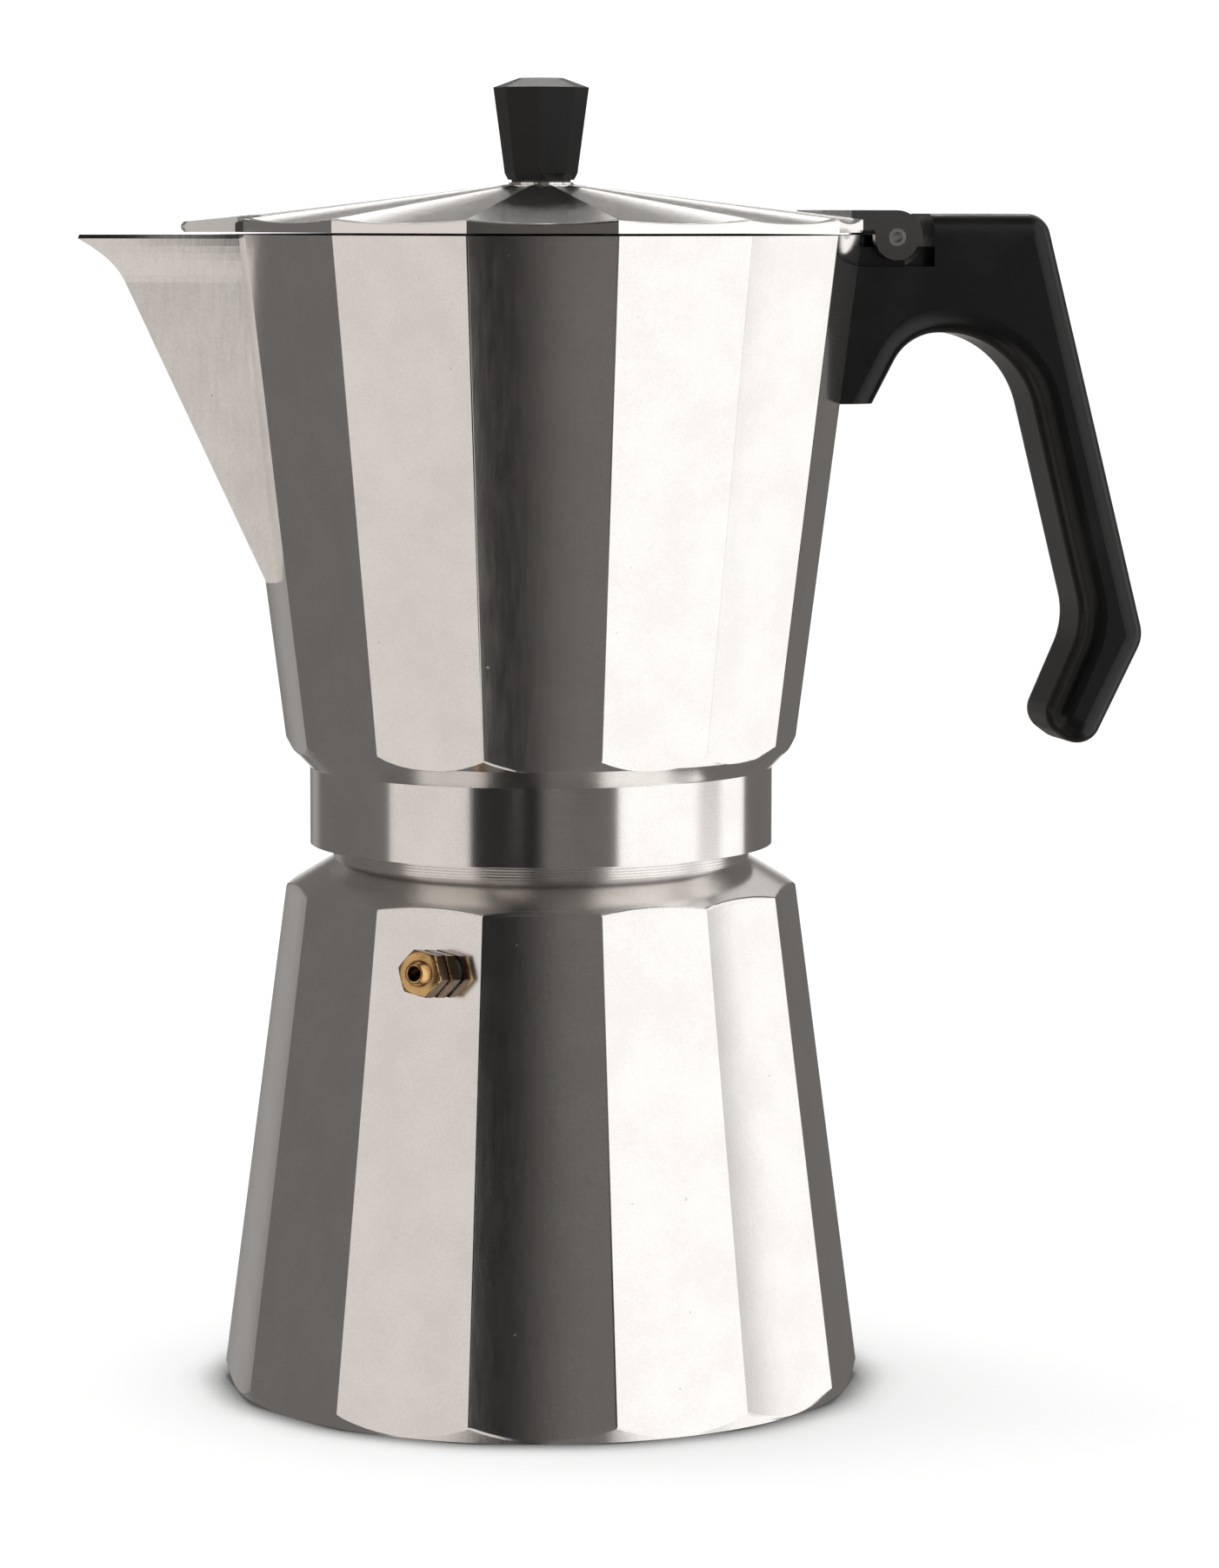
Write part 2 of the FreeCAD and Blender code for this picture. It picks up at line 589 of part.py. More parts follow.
def column_ways():
    """Bore of the column, its two side outlets and the cone under the floor."""
    top = FLOOR_Z + COLUMN_H - COLUMN_CAP
    bore = rod(COLUMN_BORE_R, SEAT_PLANE_Z - 1, top)
    outlets = Part.makeBox(2 * COLUMN_BASE_R, OUTLET_W, OUTLET_H,
                           V(-COLUMN_BASE_R, -OUTLET_W / 2, top - OUTLET_H))
    outlets.rotate(V(0, 0, 0), UP, 90)
    gather = Part.makeCone(GASKET_R - GASKET_LIP - 2, COLUMN_BORE_R, COLLECTOR_FLOOR - COLLECTOR_WALL,
                           V(0, 0, SEAT_PLANE_Z))
    return [bore, outlets, gather]


def make_collector():
    """Upper pot: ring with female thread, faceted wall, spout, column and handle lug."""
    low = RING_Z
    wide = collector_corner(RIM_Z) + CUT_MARGIN
    ring_top = RING_Z + RING_H
    flare_z = ring_top + FLARE_RISE
    wide_z = flare_z + FLARE_RUN * (wide - FLARE_R)
    outer = faceted([(collector_corner(low), low), (collector_corner(RIM_Z), RIM_Z)])
    shape = turned([(0, low), (RING_R, low), (RING_R, ring_top), (FLARE_R, flare_z),
                    (wide, wide_z), (wide, RIM_Z), (0, RIM_Z)])
    lug = block(collector_face_x(LUG_LOW_Z) - COLLECTOR_WALL / 2, LUG_REACH, LUG_HALF, LUG_LOW_Z,
                LUG_LOW_Z + LUG_H)
    body = soften(outer.common(shape), FACET_EDGE_R).fuse([spout_wedge(), lug])

    wall = COLLECTOR_WALL / FLAT
    top = RIM_Z + 1
    room = faceted([(collector_corner(FLOOR_Z) - wall, FLOOR_Z), (collector_corner(top) - wall, top)])
    body = body.cut(room).fuse(coffee_column())
    for way in column_ways():
        body = body.cut(way)
    body = body.cut(spout_channel())

    body = body.cut(rod(MALE_BORE_R, low - 1, SEAT_PLANE_Z))
    start = male_thread_z() - THREAD_PITCH
    groove = helical_solid(start, THREAD_TURNS + 2, MALE_BORE_R - THREAD_CLEARANCE,
                           THREAD_ROOT_R + THREAD_DEPTH + THREAD_CLEARANCE,
                           THREAD_RIDGE_ROOT + 2 * THREAD_CLEARANCE,
                           THREAD_RIDGE_CREST + 2 * THREAD_CLEARANCE)
    screw_hole = rod(HANDLE_SCREW_R + SCREW_PLAY, LUG_LOW_Z - 1, LUG_LOW_Z + LUG_H + 1, HANDLE_SCREW_X)
    return body.cut(groove).cut(screw_hole)


# ---- lid ----------------------------------------------------------------------------------
def flute_cone():
    """Cone whose surface runs along two ridges and dips between them, over facet 0."""
    ridge = V(math.cos(HALF_TURN), math.sin(HALF_TURN), -LID_SLOPE).normalize()
    middle = V(FLAT, 0, -LID_SLOPE - FLUTE_DIP).normalize()
    gap = ridge - middle
    axis = V(gap.z, 0, -gap.x).normalize()
    if axis.z < 0:
        axis = axis * -1
    opening = axis.getAngle(middle)
    length = 2 * LID_CORNER_R
    apex = V(0, 0, LID_Z + LID_RIM_H + LID_SLOPE * LID_CORNER_R)
    reach = length * math.cos(opening)
    return Part.makeCone(0, reach * math.tan(opening), reach, apex, axis)


def pin_sector(outer_r, inner_r, half_width, low_angle):
    """Part of a ring round the hinge pin, from straight up down to an angle above level."""
    ring = cross_rod(outer_r, half_width).cut(cross_rod(inner_r, half_width + 1))
    reach = 3 * outer_r
    low = math.radians(low_angle)
    corner = math.radians((90 + low_angle) / 2)
    points = [(HINGE_X, HINGE_Z), (HINGE_X, HINGE_Z + reach)]
    points += [(HINGE_X + reach * math.cos(a), HINGE_Z + reach * math.sin(a)) for a in (corner, low)]
    return ring.common(side_prism(points, half_width))


def hinge_bracket():
    """Inverted-U bracket from the lid's edge, curled round the hinge pin, with its two ears."""
    top = HINGE_Z + BRACKET_TOP_H
    low = HINGE_Z + BRACKET_CHEEK_LOW
    plate = block(BRACKET_START, HINGE_X, CHEEK_OUT, top - BRACKET_T, top)
    curl = pin_sector(BRACKET_TOP_H, BRACKET_TOP_H - BRACKET_T, CHEEK_OUT, BRACKET_CURL_END)
    cheeks = block(BRACKET_START, HINGE_X, CHEEK_OUT, low, top)
    cheeks = cheeks.fuse([cross_rod(EAR_R, CHEEK_OUT), pin_sector(BRACKET_TOP_H, PIN_R, CHEEK_OUT, 0)])
    cheeks = cheeks.cut(block(BRACKET_START - 1, HINGE_X + 2 * EAR_R, CHEEK_IN, HINGE_Z - 2 * EAR_R,
                              top + 1))
    return plate.fuse([curl, cheeks])


def lid_beak():
    """Short tongue of the lid over the root of the spout."""
    root = LID_CORNER_R * FLAT - CUT_MARGIN
    top = LID_Z + BEAK_ROOT_H
    side = [(-root, LID_Z), (-BEAK_REACH + BEAK_ROUND, LID_Z), (-BEAK_REACH, LID_Z + BEAK_ROUND),
            (-BEAK_REACH, LID_Z + BEAK_TIP_H - BEAK_ROUND), (-BEAK_REACH + BEAK_ROUND, LID_Z + BEAK_TIP_H),
            (-root, top)]
    plan = [V(-root, -BEAK_ROOT_W / 2, LID_Z - 1), V(-BEAK_REACH, -BEAK_TIP_W / 2, LID_Z - 1),
            V(-BEAK_REACH, BEAK_TIP_W / 2, LID_Z - 1), V(-root, BEAK_ROOT_W / 2, LID_Z - 1)]
    wedge = Part.Face(Part.makePolygon(plan + plan[:1])).extrude(V(0, 0, BEAK_ROOT_H + 2))
    return side_prism(side, BEAK_ROOT_W).common(wedge)


def make_lid():
    """Cast lid with concave flutes, a centre boss, a beak and the hinge bracket."""
    rim_top = LID_Z + LID_RIM_H
    boss_foot = rim_top + LID_SLOPE * (LID_CORNER_R - BOSS_R)
    body = faceted([(LID_CORNER_R, LID_Z), (LID_CORNER_R, rim_top), (BOSS_R, boss_foot)])
    flute = flute_cone()
    for k in range(FACETS):
        cutter = flute.copy()
        cutter.rotate(V(0, 0, 0), UP, 360.0 * k / FACETS)
        body = body.cut(cutter)
    rim = [edge for edge in body.Edges if edge.CenterOfMass.z > LID_Z + LID_RIM_H / 2
           and math.hypot(edge.CenterOfMass.x, edge.CenterOfMass.y) > LID_CORNER_R * FLAT - CUT_MARGIN]
    body = body.makeFillet(LID_EDGE_R, rim)
    boss = turned([(0, rim_top), (BOSS_R, rim_top), (BOSS_R, boss_foot), (BOSS_WAIST_R, BOSS_Z - BOSS_NECK_H),
                   (BOSS_WAIST_R, BOSS_Z), (0, BOSS_Z)])
    body = body.fuse([boss, lid_beak(), hinge_bracket()])
    slope = (LID_SLOPE + FLUTE_DIP) / FLAT
    room_r = LID_CORNER_R * FLAT - LID_RIM_WALL
    under_apex = rim_top + LID_SLOPE * LID_CORNER_R - LID_SHEET
    room = turned([(0, LID_Z - 1), (room_r, LID_Z - 1), (room_r, under_apex - slope * room_r),
                   (BOSS_R, under_apex - slope * BOSS_R), (0, under_apex - slope * BOSS_R)])
    body = body.cut(room)
    body = body.cut(rod(KNOB_SCREW_R + PASS_PLAY, LID_Z, BOSS_Z + 1))
    return body.cut(cross_rod(PIN_R + PIN_PLAY, CHEEK_OUT + 1))


# ---- knob ---------------------------------------------------------------------------------
def make_knob():
    """Eight-sided knob that widens upwards, with a low faceted dome."""
    top = KNOB_Z + KNOB_H
    first = math.radians(KNOB_TURN)
    shape = faceted([(KNOB_FOOT_R, KNOB_Z), (KNOB_WAIST_R, KNOB_Z + KNOB_FOOT_H),
                     (KNOB_TOP_R, top - KNOB_DOME_H), (KNOB_DOME_FLAT_R, top)], KNOB_SIDES, first)
    return shape.cut(rod(INSERT_R + SCREW_PLAY, KNOB_Z - 1, KNOB_Z + INSERT_H + SCREW_PLAY))


def make_knob_insert():
    """Threaded brass insert moulded into the knob."""
    sleeve = rod(INSERT_R, KNOB_Z, KNOB_Z + INSERT_H)
    return sleeve.cut(rod(KNOB_SCREW_R + SCREW_PLAY, KNOB_Z - 1, KNOB_Z + INSERT_H + 1))


def make_knob_washer():
    """Thin heat washer between knob and boss."""
    ring = rod(KNOB_WASHER_R, BOSS_Z, KNOB_Z)
    return ring.cut(rod(KNOB_SCREW_R + PASS_PLAY, BOSS_Z - 1, KNOB_Z + 1))


def make_knob_screw():
    """Screw from under the lid up into the knob."""
    slope = (LID_SLOPE + FLUTE_DIP) / FLAT
    seat = LID_Z + LID_RIM_H + LID_SLOPE * LID_CORNER_R - LID_SHEET - slope * BOSS_R
    length = KNOB_Z + INSERT_H - 1 - seat
    return screw(KNOB_SCREW_R, length, SCREW_HEAD_R, SCREW_HEAD_H, 0, seat, 1)


# ---- handle -------------------------------------------------------------------------------
def handle_face_x(z):
    """Distance of the handle's seat on the collector from the axis at a height."""
    return collector_face_x(z) + HANDLE_PLAY


def handle_blank():
    """Handle as one rounded bar, cut flat at its foot, at its step and against the collector."""
    grip = tuple((HINGE_X + out, HINGE_Z + up, radius) for out, up, radius in GRIP_CORNERS)
    lean = (grip[-1][0] - MOUNT_TIP_X) / (ARCH_Z - MOUNT_LOW_Z)
    past_z = MOUNT_LOW_Z - MOUNT_CUT
    past_x = handle_face_x(MOUNT_LOW_Z) - 2 * MOUNT_CUT
    corners = grip + (
        (MOUNT_TIP_X - lean * MOUNT_CUT, past_z, HANDLE_CORNER_R),
        (past_x, past_z, HANDLE_CORNER_R),
        (past_x, HANDLE_TOP_Z, HANDLE_CORNER_R))
    side = Part.Face(rounded_outline(corners, -HANDLE_HALF))
    bar = side.extrude(V(0, 2 * HANDLE_HALF, 0))
    edges = [edge for edge in bar.Edges if abs(abs(edge.CenterOfMass.y) - HANDLE_HALF) < 1e-6]
    bar = bar.makeFillet(HANDLE_EDGE_R, edges)
    far = grip[1][0] + CUT_MARGIN
    low = grip[2][1] - CUT_MARGIN
    keep_mount = [(handle_face_x(MOUNT_LOW_Z), MOUNT_LOW_Z), (handle_face_x(SEAT_Z), SEAT_Z),
                  (STEP_X, SEAT_Z), (STEP_X, HANDLE_TOP_Z), (far, HANDLE_TOP_Z), (far, low),
                  (MOUNT_TIP_X + CUT_MARGIN, low),
                  (MOUNT_TIP_X + CUT_MARGIN, MOUNT_LOW_Z)]
    return bar.common(side_prism(keep_mount, HANDLE_HALF))


def swing_slot():
    """Slot behind the nose that the bracket's curl swings down into."""
    low = BRACKET_CURL_END - LID_OPEN - SLOT_SPARE
    return pin_sector(SLOT_R, NOSE_R, CHEEK_OUT + CHEEK_PLAY, low)


def make_handle():
    """Moulded handle with its grip, arch, hinge nose and the pocket for the lug."""
    nose = cross_rod(NOSE_R, TONGUE_HALF)
    neck = block(HINGE_X - NOSE_R, HINGE_X + NOSE_R, TONGUE_HALF, LEDGE_Z, HINGE_Z)
    seat = block(handle_face_x(SEAT_Z), HINGE_X, TONGUE_HALF, LEDGE_Z, SEAT_Z)
    body = handle_blank()
    for side_y in (TONGUE_HALF, -TONGUE_HALF - HANDLE_HALF):
        body = body.cut(Part.makeBox(STEP_X, HANDLE_HALF, HANDLE_TOP_Z, V(0, side_y, LEDGE_Z)))
    body = body.fuse(seat)
    body = body.fuse([nose, neck]).cut(swing_slot())
    pocket = block(collector_face_x(LUG_LOW_Z) - CUT_MARGIN, LUG_REACH + LUG_PLAY, LUG_HALF + LUG_PLAY,
                   LUG_LOW_Z - LUG_PLAY, LUG_LOW_Z + LUG_H + LUG_PLAY)
    screw_hole = rod(HANDLE_SCREW_R + PASS_PLAY, LUG_LOW_Z, SEAT_Z + 1, HANDLE_SCREW_X)
    return body.cut(pocket).cut(screw_hole).cut(cross_rod(PIN_R + PIN_PLAY, TONGUE_HALF + 1))


def make_handle_washer():
    """Washer under the handle screw's head."""
    ring = rod(HANDLE_HEAD_R, SEAT_Z, SEAT_Z + HANDLE_WASHER_H, HANDLE_SCREW_X)
    return ring.cut(rod(HANDLE_SCREW_R + SCREW_PLAY, SEAT_Z - 1, HINGE_Z, HANDLE_SCREW_X))


def make_handle_screw():
    """Screw down through the handle into the collector's lug."""
    seat = SEAT_Z + HANDLE_WASHER_H
    return screw(HANDLE_SCREW_R, HANDLE_SCREW_L, HANDLE_HEAD_R, HANDLE_HEAD_H, HANDLE_SCREW_X, seat, -1)


def make_hinge_pin():
    """Tubular rivet through the ears and the handle's nose."""
    tube = cross_rod(PIN_R, CHEEK_OUT + PIN_HEAD_H)
    heads = [Part.makeCylinder(PIN_HEAD_R, PIN_HEAD_H - PIN_PLAY,
                               V(HINGE_X, y, HINGE_Z), ACROSS)
             for y in (CHEEK_OUT + PIN_PLAY, -CHEEK_OUT - PIN_HEAD_H)]
    return tube.fuse(heads).cut(cross_rod(PIN_BORE_R, CHEEK_OUT + 1))


PIECES = {
    "boiler": make_boiler,
    "funnel": make_funnel,
    "funnel_strainer": make_funnel_strainer,
    "valve_washer": make_valve_washer,
    "valve_body": make_valve_body,
    "valve_cap": make_valve_cap,
    "valve_ball": make_valve_ball,
    "valve_spring": make_valve_spring,
    "gasket": make_gasket,
    "filter_plate": make_filter_plate,
    "collector": make_collector,
    "lid": make_lid,
    "knob": make_knob,
    "knob_insert": make_knob_insert,
    "knob_washer": make_knob_washer,
    "knob_screw": make_knob_screw,
    "handle": make_handle,
    "handle_washer": make_handle_washer,
    "handle_screw": make_handle_screw,
    "hinge_pin": make_hinge_pin,
}


def main():
    """Write one STEP file for each piece."""
    os.makedirs("parts", exist_ok=True)
    for name, make in PIECES.items():
        shape = make()
        shape.exportStep(f"parts/{name}.step")
        print(f"{name:16s} {shape.ShapeType:9s} solids {len(shape.Solids)} "
              f"valid {shape.isValid()} volume {shape.Volume / 1000:8.2f} cm3")


main()
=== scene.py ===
"""Visual model of a fourteen-sided stove-top coffee pot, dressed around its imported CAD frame.

Every length is in metres, in the frame of the CAD model: +Z is up the pot's axis, +X points to
the handle, -X to the spout, and the origin is the centre of the face that the boiler stands on.
"""
import json
import logging
import math
from dataclasses import dataclass
from enum import Enum
from typing import Callable, Optional, Sequence, Union

import bmesh
import bpy
from mathutils import Matrix, Vector


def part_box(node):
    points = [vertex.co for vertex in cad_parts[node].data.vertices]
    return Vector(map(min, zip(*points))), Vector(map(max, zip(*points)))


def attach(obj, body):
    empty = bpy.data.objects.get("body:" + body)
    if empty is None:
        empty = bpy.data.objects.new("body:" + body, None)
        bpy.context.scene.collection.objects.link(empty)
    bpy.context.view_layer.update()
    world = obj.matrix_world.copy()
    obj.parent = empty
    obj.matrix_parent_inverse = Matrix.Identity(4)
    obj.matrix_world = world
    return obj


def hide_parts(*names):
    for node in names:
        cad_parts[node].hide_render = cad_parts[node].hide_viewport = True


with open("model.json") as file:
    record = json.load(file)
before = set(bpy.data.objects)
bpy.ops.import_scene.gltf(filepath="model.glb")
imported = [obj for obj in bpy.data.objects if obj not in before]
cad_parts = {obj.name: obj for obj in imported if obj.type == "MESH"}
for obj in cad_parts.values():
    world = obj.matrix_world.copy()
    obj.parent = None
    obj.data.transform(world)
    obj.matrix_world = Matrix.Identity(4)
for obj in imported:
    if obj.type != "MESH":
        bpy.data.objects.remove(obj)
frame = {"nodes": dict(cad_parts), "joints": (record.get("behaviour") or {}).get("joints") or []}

LOG = logging.getLogger("coffee_pot")
MM = 0.001
FACETS = 14

Colour = tuple[float, float, float]
Socket = bpy.types.NodeSocket
Value = Union[float, Sequence[float], Socket]
Point = tuple[float, float]


class Body(Enum):
    """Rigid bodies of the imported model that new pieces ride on."""

    BOILER = "boiler_body"
    LID = "lid_body"


class Slot(Enum):
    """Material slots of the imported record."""

    BRASS = "brass"
    PHENOLIC = "black_phenolic"


# ---- shader boards --------------------------------------------------------------------------
class Board:
    """A shader's node tree with short calls for the nodes that the finishes use."""

    def __init__(self, name: str, world: Optional[bpy.types.World] = None) -> None:
        """Start an empty tree.

        Args:
            name: Name of the new material.
            world: The world whose tree is used instead of a new material.
        """
        self.owner = world or bpy.data.materials.new(name)
        self.owner.use_nodes = True
        self.tree = self.owner.node_tree
        self.tree.nodes.clear()

    def add(self, kind: str, **settings: object) -> bpy.types.Node:
        """Add one node.

        Args:
            kind: The node's type without its "ShaderNode" prefix.
            settings: Properties of the node.

        Returns:
            The new node.
        """
        node = self.tree.nodes.new("ShaderNode" + kind)
        for key, value in settings.items():
            setattr(node, key, value)
        return node

    def feed(self, socket: Socket, value: Value) -> None:
        """Link a socket into an input, or set the input's own value.

        Args:
            socket: The input.
            value: A socket, a number or a sequence of numbers.
        """
        if isinstance(value, bpy.types.NodeSocket):
            self.tree.links.new(value, socket)
        elif isinstance(value, (int, float)):
            socket.default_value = value
        else:
            given = tuple(value)
            size = len(socket.default_value)
            socket.default_value = given + (1.0,) * (size - len(given))

    def math(self, operation: str, first: Value, second: Value = 0.0) -> Socket:
        """One Math node.

        Args:
            operation: The node's operation.
            first: First input.
            second: Second input.

        Returns:
            The result.
        """
        node = self.add("Math", operation=operation)
        self.feed(node.inputs[0], first)
        self.feed(node.inputs[1], second)
        return node.outputs[0]

    def vector(self, operation: str, first: Value,
               second: Value = (0.0, 0.0, 0.0)) -> bpy.types.Node:
        """One Vector Math node.

        Args:
            operation: The node's operation.
            first: First input.
            second: Second input, a number for SCALE.

        Returns:
            The node, whose outputs are a vector and a value.
        """
        node = self.add("VectorMath", operation=operation)
        self.feed(node.inputs[0], first)
        self.feed(node.inputs["Scale"] if operation == "SCALE" else node.inputs[1], second)
        return node

    def stretch(self, place: Value, scale: Sequence[float]) -> Socket:
        """Coordinates multiplied along each axis."""
        return self.vector("MULTIPLY", place, scale).outputs[0]

    def noise(self, place: Value, scale: float, detail: float = 3.0,
              roughness: float = 0.55) -> Socket:
        """Noise between 0 and 1.

        Args:
            place: Coordinates.
            scale: Features per metre.
            detail: Octaves.
            roughness: Share kept from octave to octave.

        Returns:
            The noise value.
        """
        node = self.add("TexNoise")
        self.feed(node.inputs["Vector"], place)
        node.inputs["Scale"].default_value = scale
        node.inputs["Detail"].default_value = detail
        node.inputs["Roughness"].default_value = roughness
        return node.outputs[0]

    def span(self, value: Value, low: float, high: float, to_low: float = 0.0,
             to_high: float = 1.0) -> Socket:
        """Smooth step from one range to another, held at its ends.

        Args:
            value: The value to map.
            low: Where the step starts.
            high: Where it ends.
            to_low: Result below the step.
            to_high: Result above it.

        Returns:
            The mapped value.
        """
        node = self.add("MapRange", interpolation_type="SMOOTHSTEP")
        for index, part in enumerate((value, low, high, to_low, to_high)):
            self.feed(node.inputs[index], part)
        return node.outputs[0]

    def mix_colour(self, share: Value, first: Value, second: Value) -> Socket:
        """Colour between two others.

        Args:
            share: How much of the second.
            first: First colour.
            second: Second colour.

        Returns:
            The mixed colour.
        """
        node = self.add("Mix", data_type="RGBA")
        self.feed(node.inputs[0], share)
        self.feed(node.inputs[6], first)
        self.feed(node.inputs[7], second)
        return node.outputs[2]

    def mix_value(self, share: Value, first: Value, second: Value) -> Socket:
        """Number between two others.

        Args:
            share: How much of the second.
            first: First number.
            second: Second number.

        Returns:
            The mixed number.
        """
        node = self.add("Mix", data_type="FLOAT")
        self.feed(node.inputs[0], share)
        self.feed(node.inputs[2], first)
        self.feed(node.inputs[3], second)
        return node.outputs[0]

    def bump(self, height: Value, depth: float, normal: Optional[Socket] = None) -> Socket:
        """Bumped normal.

        Args:
            height: Height from 0 to 1.
            depth: Real depth of a full step, in metres.
            normal: Normal to start from.

        Returns:
            The bumped normal.
        """
        node = self.add("Bump")
        node.inputs["Strength"].default_value = 1.0
        node.inputs["Distance"].default_value = depth
        self.feed(node.inputs["Height"], height)
        if normal is not None:
            self.feed(node.inputs["Normal"], normal)
        return node.outputs[0]

    def place(self) -> Socket:
        """Coordinates of the surface in the object's own frame, which is the row frame at rest."""
        return self.add("TexCoord").outputs["Object"]

    def surface(self, colour: Value, metallic: float, roughness: Value,
                normal: Optional[Socket] = None, **fixed: float) -> bpy.types.Material:
        """Finish the tree with one Principled shader.

        Args:
            colour: Base colour.
            metallic: 1 for metals.
            roughness: Roughness.
            normal: Bumped normal.
            fixed: Other sockets by name, with underscores for spaces.

        Returns:
            The material.
        """
        shader = self.add("BsdfPrincipled")
        self.feed(shader.inputs["Base Color"], colour)
        shader.inputs["Metallic"].default_value = metallic
        self.feed(shader.inputs["Roughness"], roughness)
        if normal is not None:
            self.feed(shader.inputs["Normal"], normal)
        for key, value in fixed.items():
            shader.inputs[key.replace("_", " ")].default_value = value
        output = self.add("OutputMaterial")
        self.tree.links.new(shader.outputs[0], output.inputs["Surface"])
        return self.owner


# ---- finishes -------------------------------------------------------------------------------
@dataclass(frozen=True)
class PolishedCasting:
    """Polished cast aluminium with turned bands, as-cast inside."""

    name: str
    turned_low: float
    turned_high: float
    metal: Colour = (0.915, 0.900, 0.884)
    cloudy: Colour = (0.845, 0.828, 0.812)
    cast: Colour = (0.62, 0.61, 0.60)
    crown: float = 0.26
    facet_lean: Point = (0.955, 0.972)
    polish: float = 0.13
    turned_finish: float = 0.20
    cast_finish: float = 0.43
    cloud_scale: float = 85.0
    cloud_share: float = 0.55
    speckle_scale: float = 1900.0
    streak_scale: float = 900.0
    pit_scale: float = 760.0
    grain_scale: float = 700.0
    tool_marks: float = 2600.0
    band_edge: float = 0.4 * MM
    pit_colour: Colour = (0.50, 0.48, 0.46)
    mark_depth: float = 0.006 * MM
    streak_depth: float = 0.0035 * MM
    speckle_depth: float = 0.0008 * MM
    pit_depth: float = 0.012 * MM
    grain_depth: float = 0.16 * MM

    def crowned(self, board: Board) -> tuple[Socket, Socket]:
        """Normal of facets that belly out slightly, as hand polishing leaves them.

        Args:
            board: The shader board.

        Returns:
            The normal, and how far the surface faces away from the axis, from -1 to 1.
        """
        geometry = board.add("NewGeometry")
        parts = board.add("SeparateXYZ")
        board.feed(parts.inputs[0], geometry.outputs["Normal"])
        flat = board.vector("MULTIPLY", geometry.outputs["Position"], (1.0, 1.0, 0.0)).outputs[0]
        away = board.vector("NORMALIZE", flat).outputs[0]
        level = board.math("SQRT", board.math("MAXIMUM", board.math(
            "SUBTRACT", 1.0, board.math("MULTIPLY", parts.outputs[2], parts.outputs[2])), 0.0))
        rise = board.add("CombineXYZ")
        board.feed(rise.inputs[2], parts.outputs[2])
        spread = board.vector("SCALE", away, level).outputs[0]
        round_way = board.vector("ADD", spread, rise.outputs[0]).outputs[0]
        along = board.vector("DOT_PRODUCT", geometry.outputs["Normal"], round_way).outputs["Value"]
        share = board.span(along, *self.facet_lean, 0.0, self.crown)
        lean = board.vector("SUBTRACT", round_way, geometry.outputs["Normal"]).outputs[0]
        leaned = board.vector("SCALE", lean, share).outputs[0]
        normal = board.vector("NORMALIZE", board.vector(
            "ADD", geometry.outputs["Normal"], leaned).outputs[0]).outputs[0]
        outward = board.vector("DOT_PRODUCT", geometry.outputs["Normal"], away).outputs["Value"]
        return normal, outward

    def material(self) -> bpy.types.Material:
        """Polished facets with speckle and streaks, lathe lines on the turned bands."""
        board = Board(self.name)
        place = board.place()
        normal, outward = self.crowned(board)
        parts = board.add("SeparateXYZ")
        board.feed(parts.inputs[0], place)
        height = parts.outputs[2]
        radius = board.vector("LENGTH", board.stretch(place, (1.0, 1.0, 0.0))).outputs["Value"]

        clouds = board.noise(place, self.cloud_scale, 4.0, 0.6)
        speckle = board.noise(place, self.speckle_scale, 2.0, 0.7)
        streaks = board.noise(board.stretch(place, (1.0, 1.0, 0.02)), self.streak_scale, 3.0, 0.6)
        pits = board.span(board.noise(place, self.pit_scale, 1.0), 0.80, 0.84)
        blotch = board.math("ADD", board.math("MULTIPLY", clouds, self.cloud_share),
                            board.math("MULTIPLY", speckle, 1.0 - self.cloud_share))
        tone = board.mix_colour(board.span(blotch, 0.38, 0.62), self.cloudy, self.metal)
        tone = board.mix_colour(board.math("MULTIPLY", pits, 0.35), tone, self.pit_colour)
        inside = board.span(outward, -0.05, -0.35)
        tone = board.mix_colour(inside, tone, self.cast)

        above = board.span(height, self.turned_low, self.turned_low + self.band_edge)
        below = board.span(height, self.turned_high + self.band_edge, self.turned_high)
        band = board.math("MULTIPLY", above, below)
        walk = board.math("ADD", radius, board.math("MULTIPLY", height, 0.8))
        lathe_way = board.add("CombineXYZ")
        board.feed(lathe_way.inputs[2], walk)
        turned_tool = board.noise(lathe_way.outputs[0], self.tool_marks, 2.0, 0.7)

        rough = board.math("MULTIPLY", board.math("SUBTRACT", streaks, 0.5), 0.07)
        rough = board.math("ADD", self.polish, rough)
        rough = board.mix_value(band, rough, self.turned_finish)
        rough = board.mix_value(inside, rough, self.cast_finish)
        rough = board.math("ADD", rough, board.math("MULTIPLY", pits, 0.2))

        normal = board.bump(board.math("MULTIPLY", turned_tool, band), self.mark_depth, normal)
        normal = board.bump(streaks, self.streak_depth, normal)
        normal = board.bump(speckle, self.speckle_depth, normal)
        normal = board.bump(board.math("SUBTRACT", 1.0, pits), self.pit_depth, normal)
        grain = board.math("MULTIPLY", board.noise(place, self.grain_scale, 4.0, 0.6), inside)
        normal = board.bump(grain, self.grain_depth, normal)
        return board.surface(tone, 1.0, rough, normal)


